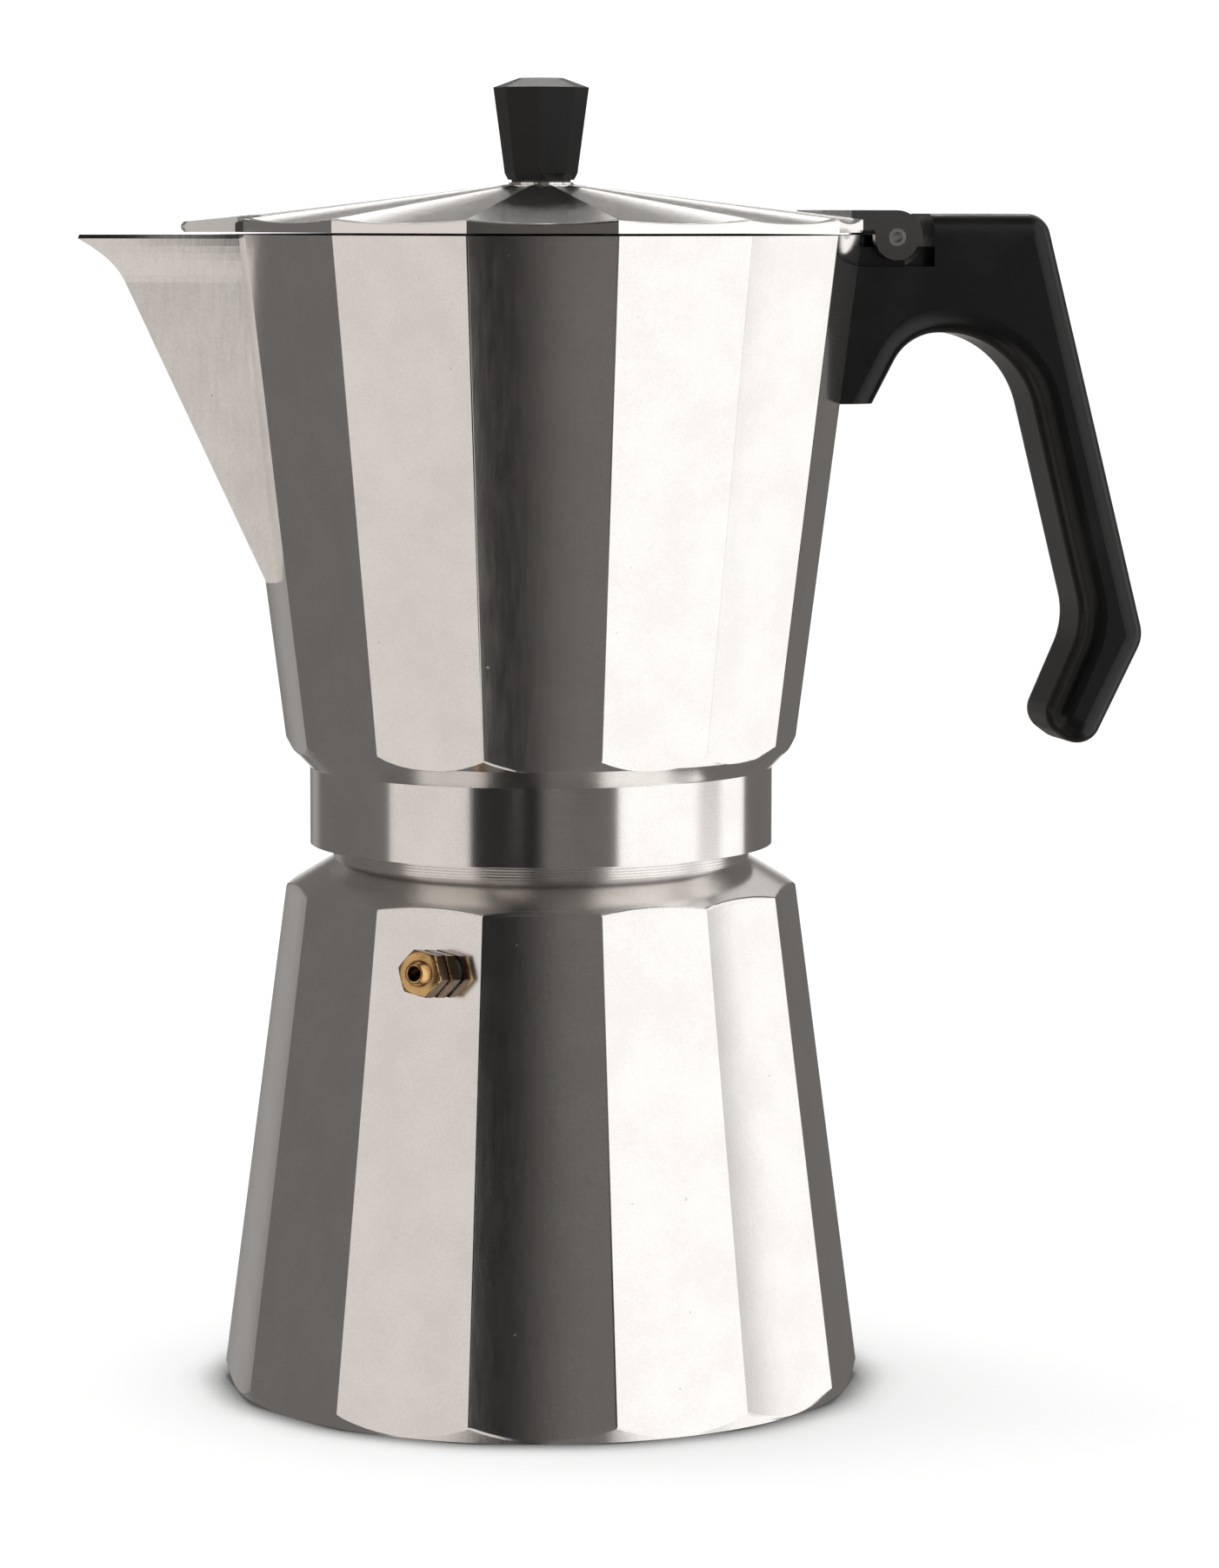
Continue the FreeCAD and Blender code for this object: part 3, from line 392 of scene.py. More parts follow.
@dataclass(frozen=True)
class GranularCasting:
    """Finely grained cast aluminium with a polished rim and hinge bracket."""

    name: str = "granular_casting"
    high: Colour = (0.93, 0.915, 0.90)
    low: Colour = (0.70, 0.69, 0.68)
    clouded: Colour = (0.84, 0.82, 0.80)
    rim_radius: float = 63.0 * MM
    rim_edge: float = 0.8 * MM
    rim_polish: float = 0.12
    coarse_scale: float = 900.0
    coarse_share: float = 0.7
    fine_scale: float = 2600.0
    cloud_scale: float = 90.0
    grain_depth: float = 0.022 * MM
    hollow: float = 0.085

    def hollowed(self, board: Board, place: Socket, polished: Socket) -> Socket:
        """Normal of flutes that are slightly hollow across their width.

        Args:
            board: The shader board.
            place: Coordinates.
            polished: 1 on the rim, which stays as it is.

        Returns:
            The normal.
        """
        parts = board.add("SeparateXYZ")
        board.feed(parts.inputs[0], place)
        turns = board.math("DIVIDE", board.math("ARCTAN2", parts.outputs[1], parts.outputs[0]),
                           2.0 * math.pi / FACETS)
        across = board.math("FRACT", board.math("ADD", turns, FACETS + 0.5))
        across = board.math("SUBTRACT", across, 0.5)
        lean = board.math("MULTIPLY", board.math("MULTIPLY", across, -2.0 * self.hollow),
                          board.math("SUBTRACT", 1.0, polished))
        outward = board.vector("NORMALIZE", board.stretch(place, (1.0, 1.0, 0.0))).outputs[0]
        tangent = board.vector("CROSS_PRODUCT", (0.0, 0.0, 1.0), outward).outputs[0]
        normal = board.add("NewGeometry").outputs["Normal"]
        leaned = board.vector("ADD", normal, board.vector("SCALE", tangent, lean).outputs[0]).outputs[0]
        return board.vector("NORMALIZE", leaned).outputs[0]

    def material(self) -> bpy.types.Material:
        """Coarse grain in two sizes, with brighter tops."""
        board = Board(self.name)
        place = board.place()
        radius = board.vector("LENGTH", board.stretch(place, (1.0, 1.0, 0.0))).outputs["Value"]
        polished = board.span(radius, self.rim_radius, self.rim_radius + self.rim_edge)
        coarse = board.noise(place, self.coarse_scale, 4.0, 0.62)
        fine = board.noise(place, self.fine_scale, 2.0, 0.6)
        clouds = board.noise(place, self.cloud_scale, 3.0)
        grain = board.math("ADD", board.math("MULTIPLY", coarse, self.coarse_share),
                           board.math("MULTIPLY", fine, 1.0 - self.coarse_share))
        tone = board.mix_colour(board.span(grain, 0.36, 0.60), self.low, self.high)
        tone = board.mix_colour(board.span(clouds, 0.3, 0.75, 0.0, 0.3), tone, self.clouded)
        tone = board.mix_colour(polished, tone, self.high)
        rough = board.span(grain, 0.35, 0.65, 0.24, 0.17)
        rough = board.mix_value(polished, rough, self.rim_polish)
        height = board.math("MULTIPLY", grain, board.math("SUBTRACT", 1.0, polished))
        normal = board.bump(height, self.grain_depth, self.hollowed(board, place, polished))
        return board.surface(tone, 1.0, rough, normal)


@dataclass(frozen=True)
class SpunMetal:
    """Spun or rolled aluminium sheet with fine rings."""

    name: str
    bright: Colour
    dull: Colour
    ring_pitch: float = 0.35 * MM
    smoothness: float = 0.27
    cloud_scale: float = 120.0
    scratch_scale: float = 4200.0
    ring_depth: float = 0.006 * MM

    def material(self) -> bpy.types.Material:
        """Rings about the pot's axis over a cloudy sheet."""
        board = Board(self.name)
        place = board.place()
        radius = board.vector("LENGTH", board.stretch(place, (1.0, 1.0, 0.0))).outputs["Value"]
        parts = board.add("SeparateXYZ")
        board.feed(parts.inputs[0], place)
        walk = board.math("ADD", radius, board.math("MULTIPLY", parts.outputs[2], 0.9))
        rings = board.math("SINE", board.math("MULTIPLY", walk, 2.0 * math.pi / self.ring_pitch))
        clouds = board.noise(place, self.cloud_scale, 4.0)
        scratch = board.noise(board.stretch(place, (0.05, 0.05, 1.0)), self.scratch_scale, 2.0)
        tone = board.mix_colour(board.span(clouds, 0.3, 0.7), self.dull, self.bright)
        rough = board.math("ADD", self.smoothness, board.math("MULTIPLY", scratch, 0.12))
        normal = board.bump(board.math("ADD", rings, board.math("MULTIPLY", scratch, 1.5)),
                            self.ring_depth)
        return board.surface(tone, 1.0, rough, normal)


@dataclass(frozen=True)
class TurnedBrass:
    """Turned brass with random tarnish, and painted shade in its hollows."""

    name: str = "turned_brass"
    clean: Colour = (0.74, 0.47, 0.21)
    tarnish_and_shade: Colour = (0.28, 0.145, 0.055)
    shelter_reach: float = 1.6 * MM
    cloud_scale: float = 420.0
    mark_scale: float = 5200.0
    mark_depth: float = 0.012 * MM

    def material(self) -> bpy.types.Material:
        """Tool marks, random tarnish, and painted shade in the hollows from ambient occlusion."""
        board = Board(self.name)
        place = board.place()
        clouds = board.noise(place, self.cloud_scale, 4.0, 0.6)
        marks = board.noise(board.stretch(place, (1.0, 1.0, 0.2)), self.mark_scale, 3.0, 0.65)
        # Painted shade: ambient occlusion darkens the colour in hollows and corners.
        corner = board.add("AmbientOcclusion", samples=6)
        corner.inputs["Distance"].default_value = self.shelter_reach
        shelter = board.span(corner.outputs["AO"], 0.35, 0.95, 1.0, 0.0)
        share = board.math("ADD", board.span(clouds, 0.42, 0.72, 0.0, 0.55), shelter)
        share = board.math("MINIMUM", share, 1.0)
        tone = board.mix_colour(share, self.clean, self.tarnish_and_shade)
        rough = board.mix_value(share, 0.20, 0.42)
        normal = board.bump(marks, self.mark_depth)
        return board.surface(tone, 1.0, rough, normal)


@dataclass(frozen=True)
class TurnedSteel:
    """Plated turned steel."""

    name: str = "turned_steel"
    bright: Colour = (0.74, 0.73, 0.72)
    dull: Colour = (0.50, 0.495, 0.49)
    cloud_scale: float = 350.0
    mark_scale: float = 6000.0
    mark_depth: float = 0.006 * MM

    def material(self) -> bpy.types.Material:
        """Cloudy plating over fine tool marks."""
        board = Board(self.name)
        place = board.place()
        clouds = board.noise(place, self.cloud_scale, 4.0)
        marks = board.noise(board.stretch(place, (1.0, 0.1, 1.0)), self.mark_scale, 2.0)
        tone = board.mix_colour(board.span(clouds, 0.35, 0.65), self.dull, self.bright)
        rough = board.math("ADD", 0.16, board.math("MULTIPLY", marks, 0.16))
        return board.surface(tone, 1.0, rough, board.bump(marks, self.mark_depth))


@dataclass(frozen=True)
class MouldedPhenolic:
    """Black compression-moulded resin with a satin skin."""

    name: str = "moulded_phenolic"
    deep: Colour = (0.0013, 0.0012, 0.0012)
    chalky: Colour = (0.0032, 0.0030, 0.0029)
    filler: Colour = (0.020, 0.019, 0.018)
    gloss: float = 0.27
    rubbed_gloss: float = 0.34
    peel_scale: float = 1150.0
    fleck_scale: float = 2400.0
    patch_scale: float = 45.0
    peel_depth: float = 0.010 * MM

    def material(self) -> bpy.types.Material:
        """Orange-peel skin, filler flecks and faint rubbed patches."""
        board = Board(self.name)
        place = board.place()
        peel = board.noise(place, self.peel_scale, 2.0, 0.5)
        flecks = board.span(board.noise(place, self.fleck_scale, 1.0), 0.66, 0.74)
        rubbed = board.span(board.noise(place, self.patch_scale, 4.0, 0.6), 0.48, 0.70)
        tone = board.mix_colour(rubbed, self.deep, self.chalky)
        tone = board.mix_colour(board.math("MULTIPLY", flecks, 0.25), tone, self.filler)
        rough = board.math("ADD", board.mix_value(rubbed, self.gloss, self.rubbed_gloss),
                           board.math("MULTIPLY", peel, 0.05))
        normal = board.bump(peel, self.peel_depth)
        return board.surface(tone, 0.0, rough, normal, Specular_IOR_Level=0.36)


@dataclass(frozen=True)
class SoftMatter:
    """Matt non-metal, such as a rubber seal or a fibre washer."""

    name: str
    main: Colour
    other: Colour
    grain: float
    depth: float
    roughness: float = 0.62

    def material(self) -> bpy.types.Material:
        """Mottled matt surface with grain."""
        board = Board(self.name)
        place = board.place()
        mottle = board.noise(place, self.grain / 6.0, 4.0)
        grain = board.noise(place, self.grain, 3.0, 0.65)
        tone = board.mix_colour(board.span(mottle, 0.35, 0.65), self.other, self.main)
        rough = board.math("ADD", self.roughness, board.math("MULTIPLY", grain, 0.15))
        normal = board.bump(grain, self.depth)
        return board.surface(tone, 0.0, rough, normal, Specular_IOR_Level=0.35)


@dataclass(frozen=True)
class StudioPaint:
    """Plain pale paint of the floor, with a painted contact shadow right beside what stands on it."""

    name: str = "studio_floor"
    tone: Colour = (0.93, 0.93, 0.93)
    haze: float = 0.985
    painted_contact_shadow: Colour = (0.03, 0.029, 0.028)
    contact_shadow_reach: float = 12.0 * MM
    contact_shadow_depth: float = 0.9

    def material(self) -> bpy.types.Material:
        """Nearly even matt paint, darkened by ambient occlusion into a painted contact shadow."""
        board = Board(self.name)
        haze = board.noise(board.place(), 6.0, 2.0)
        tone = board.mix_colour(haze, self.tone, tuple(self.haze * part for part in self.tone))
        # Painted contact shadow: ambient occlusion darkens the floor's colour next to what stands on
        # it.
        shelter = board.add("AmbientOcclusion", samples=8)
        shelter.inputs["Distance"].default_value = self.contact_shadow_reach
        shade = board.span(shelter.outputs["AO"], 0.97, 0.45, 0.0, self.contact_shadow_depth)
        tone = board.mix_colour(shade, tone, self.painted_contact_shadow)
        return board.surface(tone, 0.0, 0.9, Specular_IOR_Level=0.1)


# ---- mesh tools -----------------------------------------------------------------------------
def piece_from(name: str, mesh: bmesh.types.BMesh, material: bpy.types.Material,
               smooth_to: float = 35.0) -> bpy.types.Object:
    """Make an object from a finished mesh and shade it smooth up to an angle.

    Args:
        name: Name of the piece.
        mesh: The mesh, which is freed.
        material: Its finish.
        smooth_to: Edges sharper than this angle, in degrees, stay sharp.

    Returns:
        The object, linked into the scene.
    """
    bmesh.ops.recalc_face_normals(mesh, faces=mesh.faces)
    data = bpy.data.meshes.new(name)
    mesh.to_mesh(data)
    mesh.free()
    data.shade_smooth()
    data.set_sharp_from_angle(angle=math.radians(smooth_to))
    data.materials.append(material)
    made = bpy.data.objects.new(name, data)
    bpy.context.scene.collection.objects.link(made)
    return made


def skin_rings(mesh: bmesh.types.BMesh, rings: Sequence[Sequence[Vector]], closed: bool) -> None:
    """Skin rings of equal length with quads.

    Args:
        mesh: The mesh to add to.
        rings: Rings of points.
        closed: True joins the last ring to the first, False caps both ends.
    """
    rows = [[mesh.verts.new(point) for point in ring] for ring in rings]
    count = len(rows[0])
    pairs = list(zip(rows, rows[1:] + rows[:1])) if closed else list(zip(rows, rows[1:]))
    for low, high in pairs:
        for k in range(count):
            following = (k + 1) % count
            mesh.faces.new((low[k], low[following], high[following], high[k]))
    if not closed:
        mesh.faces.new(tuple(reversed(rows[0])))
        mesh.faces.new(tuple(rows[-1]))


def ring_of(radius: Callable[[float], float], height: float, count: int) -> list[Vector]:
    """One ring about the z axis.

    Args:
        radius: Radius as a function of the angle.
        height: Height of the ring.
        count: Number of points.

    Returns:
        The ring's points.
    """
    angles = [2.0 * math.pi * k / count for k in range(count)]
    return [Vector((radius(a) * math.cos(a), radius(a) * math.sin(a), height)) for a in angles]


def dress(node: str, material: bpy.types.Material) -> None:
    """Give a CAD node its finish."""
    slots = frame["nodes"][node].data.materials
    slots.clear()
    slots.append(material)
    LOG.info("dressed %s in %s", node, material.name)


def settle(piece: bpy.types.Object, body: Body, slot: Slot, *nodes: str) -> None:
    """Put a new piece on its body.

    Args:
        piece: The piece.
        body: The body that it moves with.
        slot: The record's slot for its finish; not used.
        nodes: The CAD nodes that it stands for.
    """
    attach(piece, body.value)
    if nodes:
        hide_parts(*nodes)
    LOG.info("built %s on %s", piece.name, body.value)


# ---- sub-assemblies -------------------------------------------------------------------------
@dataclass
class Boiler:
    """Water chamber with its funnel and strainer."""

    shoulder_low: float = 102.4 * MM
    neck_top: float = 124.0 * MM

    def build(self) -> None:
        """Dress the boiler and what it holds."""
        dress("boiler", PolishedCasting("boiler_casting", self.shoulder_low, self.neck_top).material())
        dress("funnel", SpunMetal("spun_funnel", (0.86, 0.855, 0.85), (0.72, 0.715, 0.71)).material())
        dress("funnel_strainer", SpunMetal("strainer_sheet", (0.82, 0.815, 0.81), (0.70, 0.69, 0.68),
                                           0.9 * MM, 0.34).material())


@dataclass
class SafetyValve:
    """Brass relief valve through the boiler's wall, with its ball and spring."""

    seat_depth: float = 1.575 * MM
    washer: float = 0.9 * MM
    across_corners: float = 4.9 * MM
    body_hex: float = 4.2 * MM
    groove_radius: float = 3.9 * MM
    groove: float = 0.7 * MM
    cap_hex: float = 4.0 * MM
    nipple_root: float = 2.55 * MM
    nipple_end: float = 1.95 * MM
    nipple: float = 2.3 * MM
    bore: float = 1.45 * MM
    chamber: float = 2.1 * MM
    shank: float = 3.0 * MM
    shank_length: float = 7.5 * MM
    inlet: float = 1.0 * MM
    seat: float = 3.0 * MM
    chamfer_slope: float = 0.55
    chamfer_start: float = 0.965
    chamfer_drops: tuple[float, ...] = (0.0, 0.06 * MM, 0.2 * MM, 0.35 * MM, 0.5 * MM, 0.7 * MM)
    hex_turn: float = math.radians(10.0)
    flank_level: float = 0.3
    points: int = 72

    def hexagon(self, angle: float) -> float:
        """Radius of the hexagon's outline at an angle."""
        sixth = math.pi / 3.0
        flat = self.across_corners * math.cos(sixth / 2.0)
        return flat / math.cos(((angle - self.hex_turn) % sixth) - sixth / 2.0)

    def chamfered(self, drop: float) -> Callable[[float], float]:
        """Outline of the hexagon cut by a cone.

        Args:
            drop: Distance from the chamfered face.

        Returns:
            Radius as a function of the angle.
        """
        flat = self.across_corners * math.cos(math.pi / 6.0)
        cone = self.chamfer_start * flat + drop / self.chamfer_slope
        return lambda angle: min(self.hexagon(angle), cone)

    def nut(self, low: float, high: float, both: bool) -> list[list[Vector]]:
        """Rings up the outside of a chamfered hexagon.

        Args:
            low: Start along the axis.
            high: End along the axis.
            both: Chamfer the low end as well.

        Returns:
            The rings.
        """
        rings = [ring_of(self.hexagon, low, self.points)]
        if both:
            rings = [ring_of(self.chamfered(drop), low + drop, self.points)
                     for drop in self.chamfer_drops]
        return rings + [ring_of(self.chamfered(drop), high - drop, self.points)
                        for drop in reversed(self.chamfer_drops)]

    def lathe(self, profile: Sequence[Point]) -> list[list[Vector]]:
        """Rings of a turned profile given as (radius, distance along the axis)."""
        return [ring_of(lambda _a, r=radius: r, height, self.points) for radius, height in profile]

    def stand(self, piece: bpy.types.Object) -> None:
        """Move a piece built along z onto the valve's axis."""
        low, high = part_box("valve_ball")
        lift = next(joint for joint in frame["joints"] if joint["name"] == "valve_lift")
        axis = Vector(lift["axis"]).normalized()
        origin = (low + high) / 2.0 + axis * self.seat_depth
        turn = Vector((0.0, 0.0, 1.0)).rotation_difference(axis).to_matrix().to_4x4()
        piece.data.transform(Matrix.Translation(origin) @ turn)

    def build(self) -> None:
        """Build the two brass hexagons and dress the rest."""
        brass = TurnedBrass().material()
        # Darker copy of the brass: painted shade on the valve body and on the cap's sideways flanks.
        shaded_brass = TurnedBrass("painted_shade_brass", (0.20, 0.125, 0.062),
                              (0.055, 0.036, 0.022)).material()
        steel = TurnedSteel("ball_steel", (0.80, 0.79, 0.78), (0.66, 0.655, 0.65)).material()
        start = self.washer
        middle = start + self.body_hex
        cap_low = middle + self.groove
        end = cap_low + self.cap_hex
        tip = end + self.nipple
        soft = 0.18 * MM

        body = bmesh.new()
        rings = self.lathe([(self.inlet, -self.shank_length), (self.shank - soft, -self.shank_length),
                            (self.shank, soft - self.shank_length), (self.shank, start)])
        rings += self.nut(start, middle, False)
        rings += self.lathe([(self.groove_radius, middle), (self.groove_radius, cap_low - 0.02 * MM),
                             (self.chamber, cap_low - 0.02 * MM), (self.chamber, -self.seat),
                             (self.inlet, -self.seat)])
        skin_rings(body, rings, True)
        hexagon = piece_from("valve_body_turned", body, shaded_brass)
        self.stand(hexagon)
        settle(hexagon, Body.BOILER, Slot.BRASS, "valve_body")

        cap = bmesh.new()
        root = self.nipple_root
        slope = (root - self.nipple_end) / self.nipple
        rings = self.lathe([(self.bore, cap_low)]) + self.nut(cap_low, end, True)
        rings += self.lathe([(root + 0.45 * MM, end), (root + 0.12 * MM, end + 0.1 * MM),
                             (root, end + 0.4 * MM),
                             (self.nipple_end + slope * 0.4 * MM, tip - 0.35 * MM),
                             (self.nipple_end - 0.12 * MM, tip - 0.1 * MM),
                             (self.nipple_end - 0.3 * MM, tip),
                             (self.bore + 0.12 * MM, tip), (self.bore, tip - 0.15 * MM)])
        skin_rings(cap, rings, True)
        outer = piece_from("valve_cap_turned", cap, brass)
        outer.data.materials.append(shaded_brass)
        # Flanks facing sideways take the darker brass: painted shade.
        for face in outer.data.polygons:
            outside = face.center.xy.length > self.groove_radius
            flank = outside and abs(face.normal.z) < self.flank_level
            face.material_index = 1 if flank else 0
        self.stand(outer)
        settle(outer, Body.BOILER, Slot.BRASS, "valve_cap")

        dress("valve_washer", SoftMatter("valve_fibre", (0.05, 0.04, 0.032),
                                         (0.028, 0.022, 0.018), 2200.0, 0.03 * MM).material())
        dress("valve_ball", steel)
        dress("valve_spring", steel)


@dataclass
class Seal:
    """Rubber ring and the upper filter plate."""

    def build(self) -> None:
        """Dress the seal and its plate."""
        dress("gasket", SoftMatter("seal_rubber", (0.80, 0.79, 0.74), (0.74, 0.725, 0.67), 1500.0,
                                   0.02 * MM, 0.5).material())
        dress("filter_plate", SpunMetal("plate_sheet", (0.84, 0.835, 0.83), (0.71, 0.70, 0.69),
                                        0.8 * MM, 0.30).material())


@dataclass
class Collector:
    """Upper pot with its turned ring and spout."""

    ring_low: float = 111.0 * MM
    ring_high: float = 131.4 * MM

    def build(self) -> None:
        """Dress the collector."""
        dress("collector", PolishedCasting("collector_casting", self.ring_low, self.ring_high,
                                          turned_finish=0.125).material())


@dataclass
class Lid:
    """Fluted lid with its knob."""

    knob_sides: int = 8
    knob_turn: float = math.radians(-15.4)
    foot_radius: float = 6.7 * MM
    waist_radius: float = 7.4 * MM
    top_radius: float = 9.7 * MM
    flat_radius: float = 4.5 * MM
    waist_height: float = 1.3 * MM
    dome_height: float = 1.9 * MM
    edge_round: float = 0.42 * MM
    insert_slack: float = 0.05 * MM
    foot_margin: float = 0.6 * MM

    def knob(self, material: bpy.types.Material) -> bpy.types.Object:
        """Eight-sided knob with softened edges and the bore for its insert.

        Args:
            material: Its finish.

        Returns:
            The knob.
        """
        low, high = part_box("knob")
        insert_low, insert_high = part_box("knob_insert")
        bore = (insert_high.x - insert_low.x) / 2.0 + self.insert_slack
        sections = [(self.foot_radius, low.z), (self.waist_radius, low.z + self.waist_height),
                    (self.top_radius, high.z - self.dome_height), (self.flat_radius, high.z)]
        mesh = bmesh.new()
        rings = []
        for radius, height in sections:
            ring = []
            for k in range(self.knob_sides):
                angle = self.knob_turn + 2.0 * math.pi * k / self.knob_sides
                ring.append(Vector((radius * math.cos(angle), radius * math.sin(angle), height)))
            rings.append(ring)
        skin_rings(mesh, rings, False)
        bottom = min(mesh.faces, key=lambda face: face.calc_center_median().z)
        rim = self.foot_radius - bore - self.foot_margin
        bmesh.ops.inset_region(mesh, faces=[bottom], thickness=rim)
        edges = [edge for edge in mesh.edges if all(vert not in bottom.verts for vert in edge.verts)]
        bmesh.ops.bevel(mesh, geom=edges, offset=self.edge_round, segments=3, profile=0.6,
                        affect="EDGES", clamp_overlap=True)
        sunk = bmesh.ops.extrude_face_region(mesh, geom=[bottom])
        raised = [part for part in sunk["geom"] if isinstance(part, bmesh.types.BMVert)]
        depth = insert_high.z - insert_low.z + self.insert_slack
        bmesh.ops.translate(mesh, verts=raised, vec=(0.0, 0.0, depth))
        bmesh.ops.delete(mesh, geom=[bottom], context="FACES_ONLY")
        return piece_from("knob_moulded", mesh, material, 30.0)

    def build(self) -> None:
        """Dress the lid and build the knob."""
        phenolic = MouldedPhenolic("knob_phenolic").material()
        dress("lid", GranularCasting().material())
        settle(self.knob(phenolic), Body.LID, Slot.PHENOLIC, "knob")
        dress("knob_insert", TurnedBrass("insert_brass").material())
        dress("knob_washer", SoftMatter("knob_fibre", (0.07, 0.06, 0.05),
                                        (0.04, 0.035, 0.03), 2000.0, 0.03 * MM).material())
        dress("knob_screw", TurnedSteel("knob_screw_steel").material())


@dataclass
class Handle:
    """Moulded handle with its screw, washer and the hinge rivet."""

    def build(self) -> None:
        """Dress the handle and its fasteners."""
        steel = TurnedSteel("handle_steel").material()
        dress("handle", MouldedPhenolic("handle_phenolic").material())
        for node in ("handle_washer", "handle_screw", "hinge_pin"):
            dress(node, steel)


# ---- studio ---------------------------------------------------------------------------------
@dataclass(frozen=True)
class Card:
    """A lit card round the pot that polished metal reflects, its edges in degrees."""

    left: float
    right: float
    low: float
    high: float
    light: Colour
    soft: float = 3.0


@dataclass
class Studio:
    """Plain pale floor, soft light and the camera."""

    camera_azimuth: float = -103.12
    camera_distance: float = 1.100
    camera_height: float = 0.2414
    pan_right: float = 0.7308
    tilt: float = -6.1276
    roll: float = -0.0774
    lens: float = 123.76
    sensor: float = 36.0
    surround_radius: float = 4.0
    floor_radii: tuple[float, ...] = (0.3, 1.5, 9.0)
    floor_points: int = 96
    world_strength: float = 1.2
    lamp_place: tuple[float, float, float] = (-0.9, 0.6, 2.1)
    lamp_aim: tuple[float, float, float] = (0.0, 0.0, 0.1)
    lamp_side: float = 1.2
    lamp_power: float = 7.0
    dim: Colour = (0.150, 0.142, 0.135)
    black: Colour = (0.012, 0.0115, 0.011)
    black_left: Point = (-34.0, -40.0)
    black_right: Point = (-4.0, 5.0)
    cards: tuple[Card, ...] = (
        Card(-80.0, -35.0, -60.0, 60.0, (0.72, 0.675, 0.64), 1.2),
        Card(38.0, 120.0, -60.0, 60.0, (1.13, 1.11, 1.09), 1.2),
        Card(84.0, 99.5, -6.5, 60.0, (0.62, 0.60, 0.585), 4.0),
        Card(84.0, 97.0, -60.0, -6.5, (0.86, 0.84, 0.82), 4.0),
        Card(-34.0, -8.8, -60.0, -11.0, (0.72, 0.68, 0.64), 0.7),
        Card(-14.0, -8.8, -1.8, 6.0, (0.62, 0.60, 0.57), 0.7),
        Card(15.0, 36.0, -2.5, 5.0, (0.015, 0.014, 0.014), 1.0),
        Card(140.0, 166.0, 15.0, 60.0, (0.62, 0.60, 0.585), 4.0),
        Card(168.0, 192.0, 24.0, 31.0, (1.3, 1.28, 1.25), 2.0),
        Card(170.0, 190.0, -12.0, 8.0, (0.9, 0.88, 0.86), 2.0),
        Card(198.0, 214.0, -20.0, 10.0, (0.33, 0.32, 0.31), 6.0),
        Card(166.0, 194.0, 35.0, 43.0, (6.0, 5.9, 5.8), 1.5),
    )

    def axes(self) -> tuple[Vector, Vector, Vector]:
        """The camera's right, up and forward directions."""
        out = math.radians(self.camera_azimuth)
        ahead = Vector((-math.cos(out), -math.sin(out), 0.0))
        right = Vector((ahead.y, -ahead.x, 0.0))
        pan = math.radians(self.pan_right)
        level = ahead * math.cos(pan) + right * math.sin(pan)
        right = Vector((level.y, -level.x, 0.0))
        tilt = math.radians(self.tilt)
        forward = level * math.cos(tilt) + Vector((0.0, 0.0, math.sin(tilt)))
        up = right.cross(forward)
        turn = Matrix.Rotation(math.radians(self.roll), 3, forward)
        return turn @ right, turn @ up, forward

    def camera(self) -> None:
        """Place the camera."""
        right, up, forward = self.axes()
        out = math.radians(self.camera_azimuth)
        place = Vector((self.camera_distance * math.cos(out), self.camera_distance * math.sin(out),
                        self.camera_height))
        data = bpy.data.cameras.new("camera")
        data.lens = self.lens
        data.sensor_width = self.sensor
        data.clip_start = 0.01
        made = bpy.data.objects.new("camera", data)
        made.matrix_world = Matrix((right, up, -forward)).transposed().to_4x4()
        made.location = place
        bpy.context.scene.collection.objects.link(made)
        bpy.context.scene.camera = made

    def floor(self) -> None:
        """Wide pale floor with a few rings of faces."""
        mesh = bmesh.new()
        skin_rings(mesh, [ring_of(lambda _a, r=radius: r, 0.0, self.floor_points)
                          for radius in self.floor_radii], False)
        outer = max(mesh.faces, key=lambda face: face.calc_area())
        bmesh.ops.delete(mesh, geom=[outer], context="FACES_ONLY")
        made = piece_from("studio_floor", mesh, StudioPaint().material())
        made.visible_glossy = False

    def card_mask(self, board: Board, azimuth: Socket, elevation: Socket, card: Card) -> Socket:
        """Where one card is seen.

        Args:
            board: The surround's board.
            azimuth: Direction about the pot from the camera, in degrees.
            elevation: Direction above the horizon, in degrees.
            card: The card.

        Returns:
            1 on the card, 0 off it.
        """
        middle = (card.left + card.right) / 2.0
        half = (card.right - card.left) / 2.0
        turned = board.add("Math", operation="WRAP")
        offset = board.math("SUBTRACT", azimuth, middle)
        for socket, value in zip(turned.inputs, (offset, 180.0, -180.0)):
            board.feed(socket, value)
        away = board.math("ABSOLUTE", turned.outputs[0])
        wide = board.span(away, half + card.soft, half - card.soft)
        over = board.span(elevation, card.low - card.soft, card.low + card.soft)
        under = board.span(elevation, card.high + card.soft, card.high - card.soft)
        tall = board.math("MULTIPLY", over, under)
        return board.math("MULTIPLY", wide, tall)

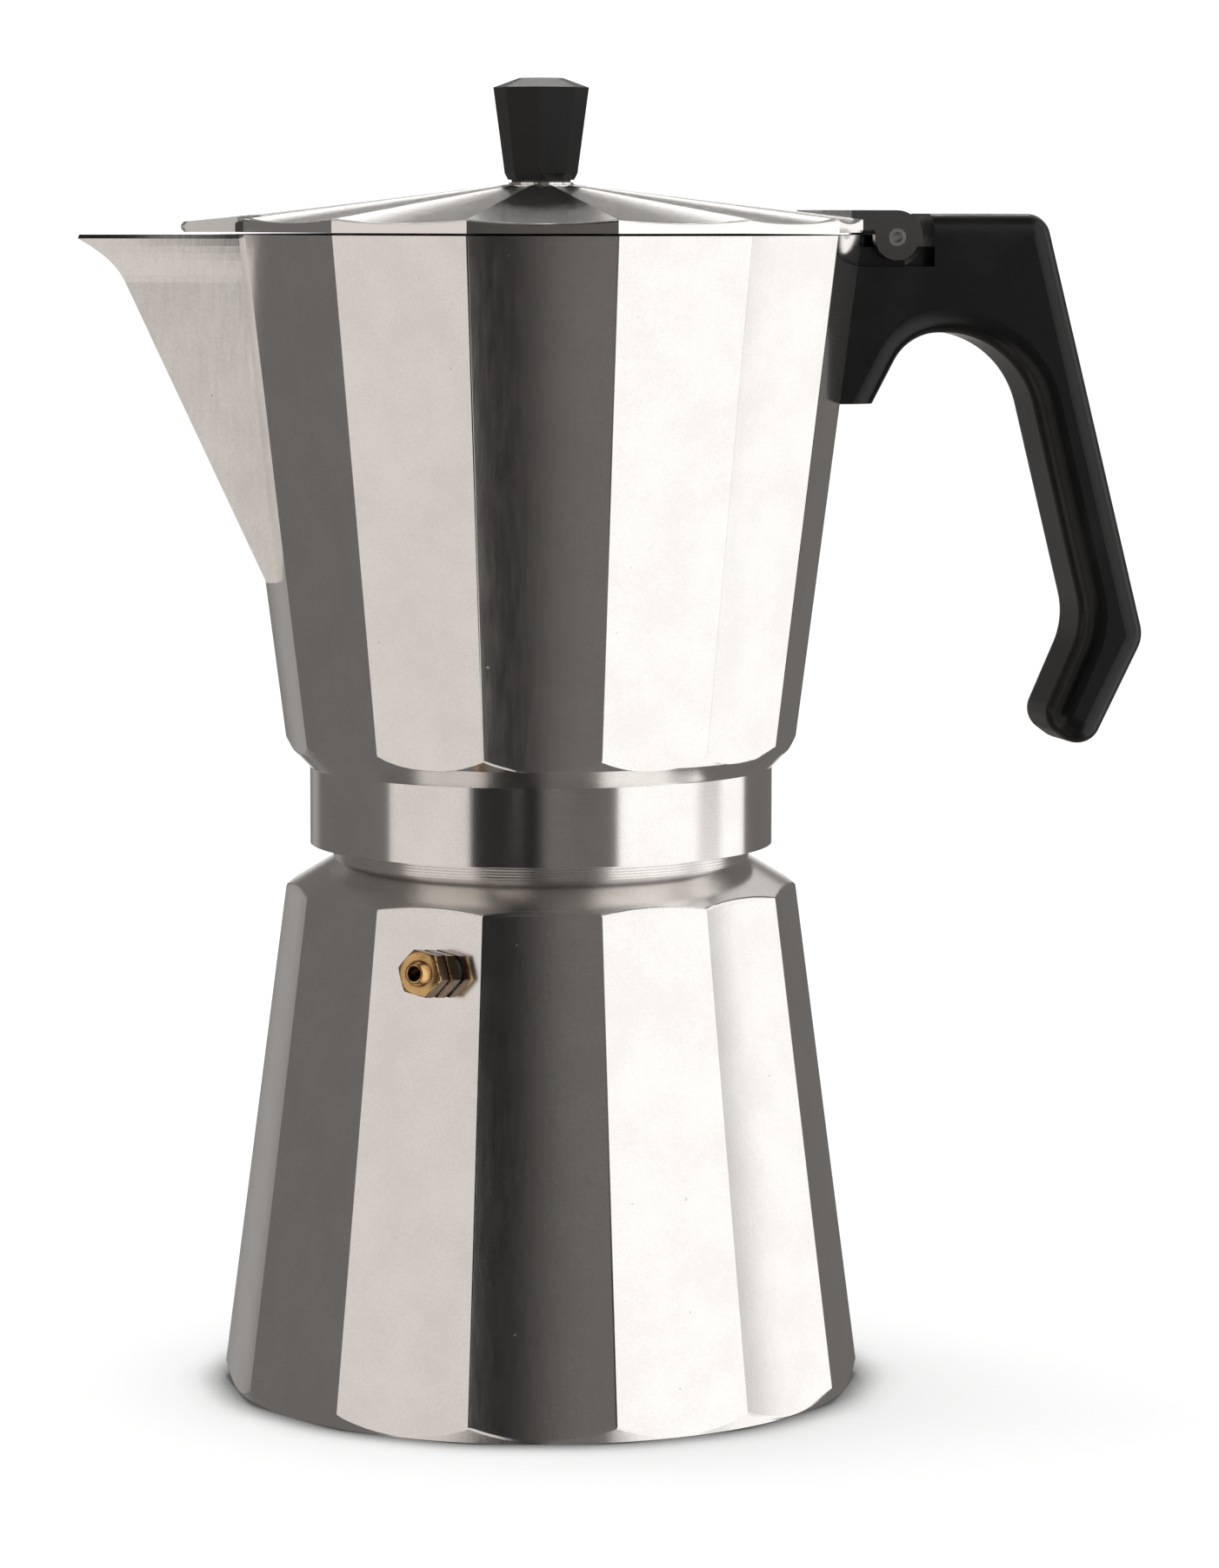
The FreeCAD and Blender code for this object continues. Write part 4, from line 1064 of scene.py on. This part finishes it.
    def surround(self) -> None:
        """The dim studio and its cards, seen only in reflections."""
        board = Board("studio_surround")
        parts = board.add("SeparateXYZ")
        board.feed(parts.inputs[0], board.place())
        out = math.radians(self.camera_azimuth)
        across = (-math.sin(out), math.cos(out), 0.0)
        toward = (math.cos(out), math.sin(out), 0.0)
        side = board.vector("DOT_PRODUCT", board.place(), across).outputs["Value"]
        near = board.vector("DOT_PRODUCT", board.place(), toward).outputs["Value"]
        azimuth = board.math("DEGREES", board.math("ARCTAN2", side, near))
        level = board.vector("LENGTH", board.stretch(board.place(), (1.0, 1.0, 0.0))).outputs["Value"]
        elevation = board.math("DEGREES", board.math("ARCTAN2", parts.outputs[2], level))
        tone = board.mix_colour(board.span(azimuth, *self.black_right), self.black, self.dim)
        tone = board.mix_colour(board.span(azimuth, *self.black_left), tone, self.dim)
        for card in self.cards:
            mask = self.card_mask(board, azimuth, elevation, card)
            tone = board.mix_colour(mask, tone, card.light)
        glow = board.add("Emission")
        board.feed(glow.inputs["Color"], tone)
        output = board.add("OutputMaterial")
        board.tree.links.new(glow.outputs[0], output.inputs["Surface"])
        mesh = bmesh.new()
        bmesh.ops.create_icosphere(mesh, subdivisions=5, radius=self.surround_radius)
        made = piece_from("studio_surround", mesh, board.owner, 180.0)
        made.visible_camera = False
        made.visible_diffuse = False
        made.visible_transmission = False
        made.visible_volume_scatter = False
        made.visible_shadow = False
        board.owner.cycles.emission_sampling = "NONE"

    def world(self) -> None:
        """White background that lights matt surfaces but isn't mirrored."""
        world = bpy.data.worlds.new("studio_world")
        bpy.context.scene.world = world
        board = Board("studio_world", world)
        light = board.add("Background")
        light.inputs["Color"].default_value = (1.0, 1.0, 1.0, 1.0)
        light.inputs["Strength"].default_value = self.world_strength
        output = board.add("OutputWorld")
        board.tree.links.new(light.outputs[0], output.inputs["Surface"])
        world.cycles_visibility.glossy = False

    def lamp(self) -> None:
        """Hang one soft square lamp aimed at the pot."""
        data = bpy.data.lights.new("key_lamp", "AREA")
        data.shape = "SQUARE"
        data.size = self.lamp_side
        data.energy = self.lamp_power
        made = bpy.data.objects.new("key_lamp", data)
        place = Vector(self.lamp_place)
        made.location = place
        made.rotation_mode = "QUATERNION"
        made.rotation_quaternion = (Vector(self.lamp_aim) - place).to_track_quat("-Z", "Y")
        made.visible_glossy = False
        made.visible_camera = False
        bpy.context.scene.collection.objects.link(made)

    def build(self) -> None:
        """Set up the studio."""
        bpy.context.scene.view_settings.view_transform = "Standard"
        self.camera()
        self.floor()
        self.surround()
        self.world()
        self.lamp()
        LOG.info("studio ready")


def main() -> None:
    """Build the sub-assemblies in order."""
    logging.basicConfig(level=logging.INFO, format="%(name)s: %(message)s")
    bpy.context.view_layer.update()
    for assembly in (Boiler(), SafetyValve(), Seal(), Collector(), Lid(), Handle(), Studio()):
        assembly.build()
        LOG.info("finished %s", type(assembly).__name__)
    bpy.context.view_layer.update()
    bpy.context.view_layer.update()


if __name__ == "__main__":
    main()
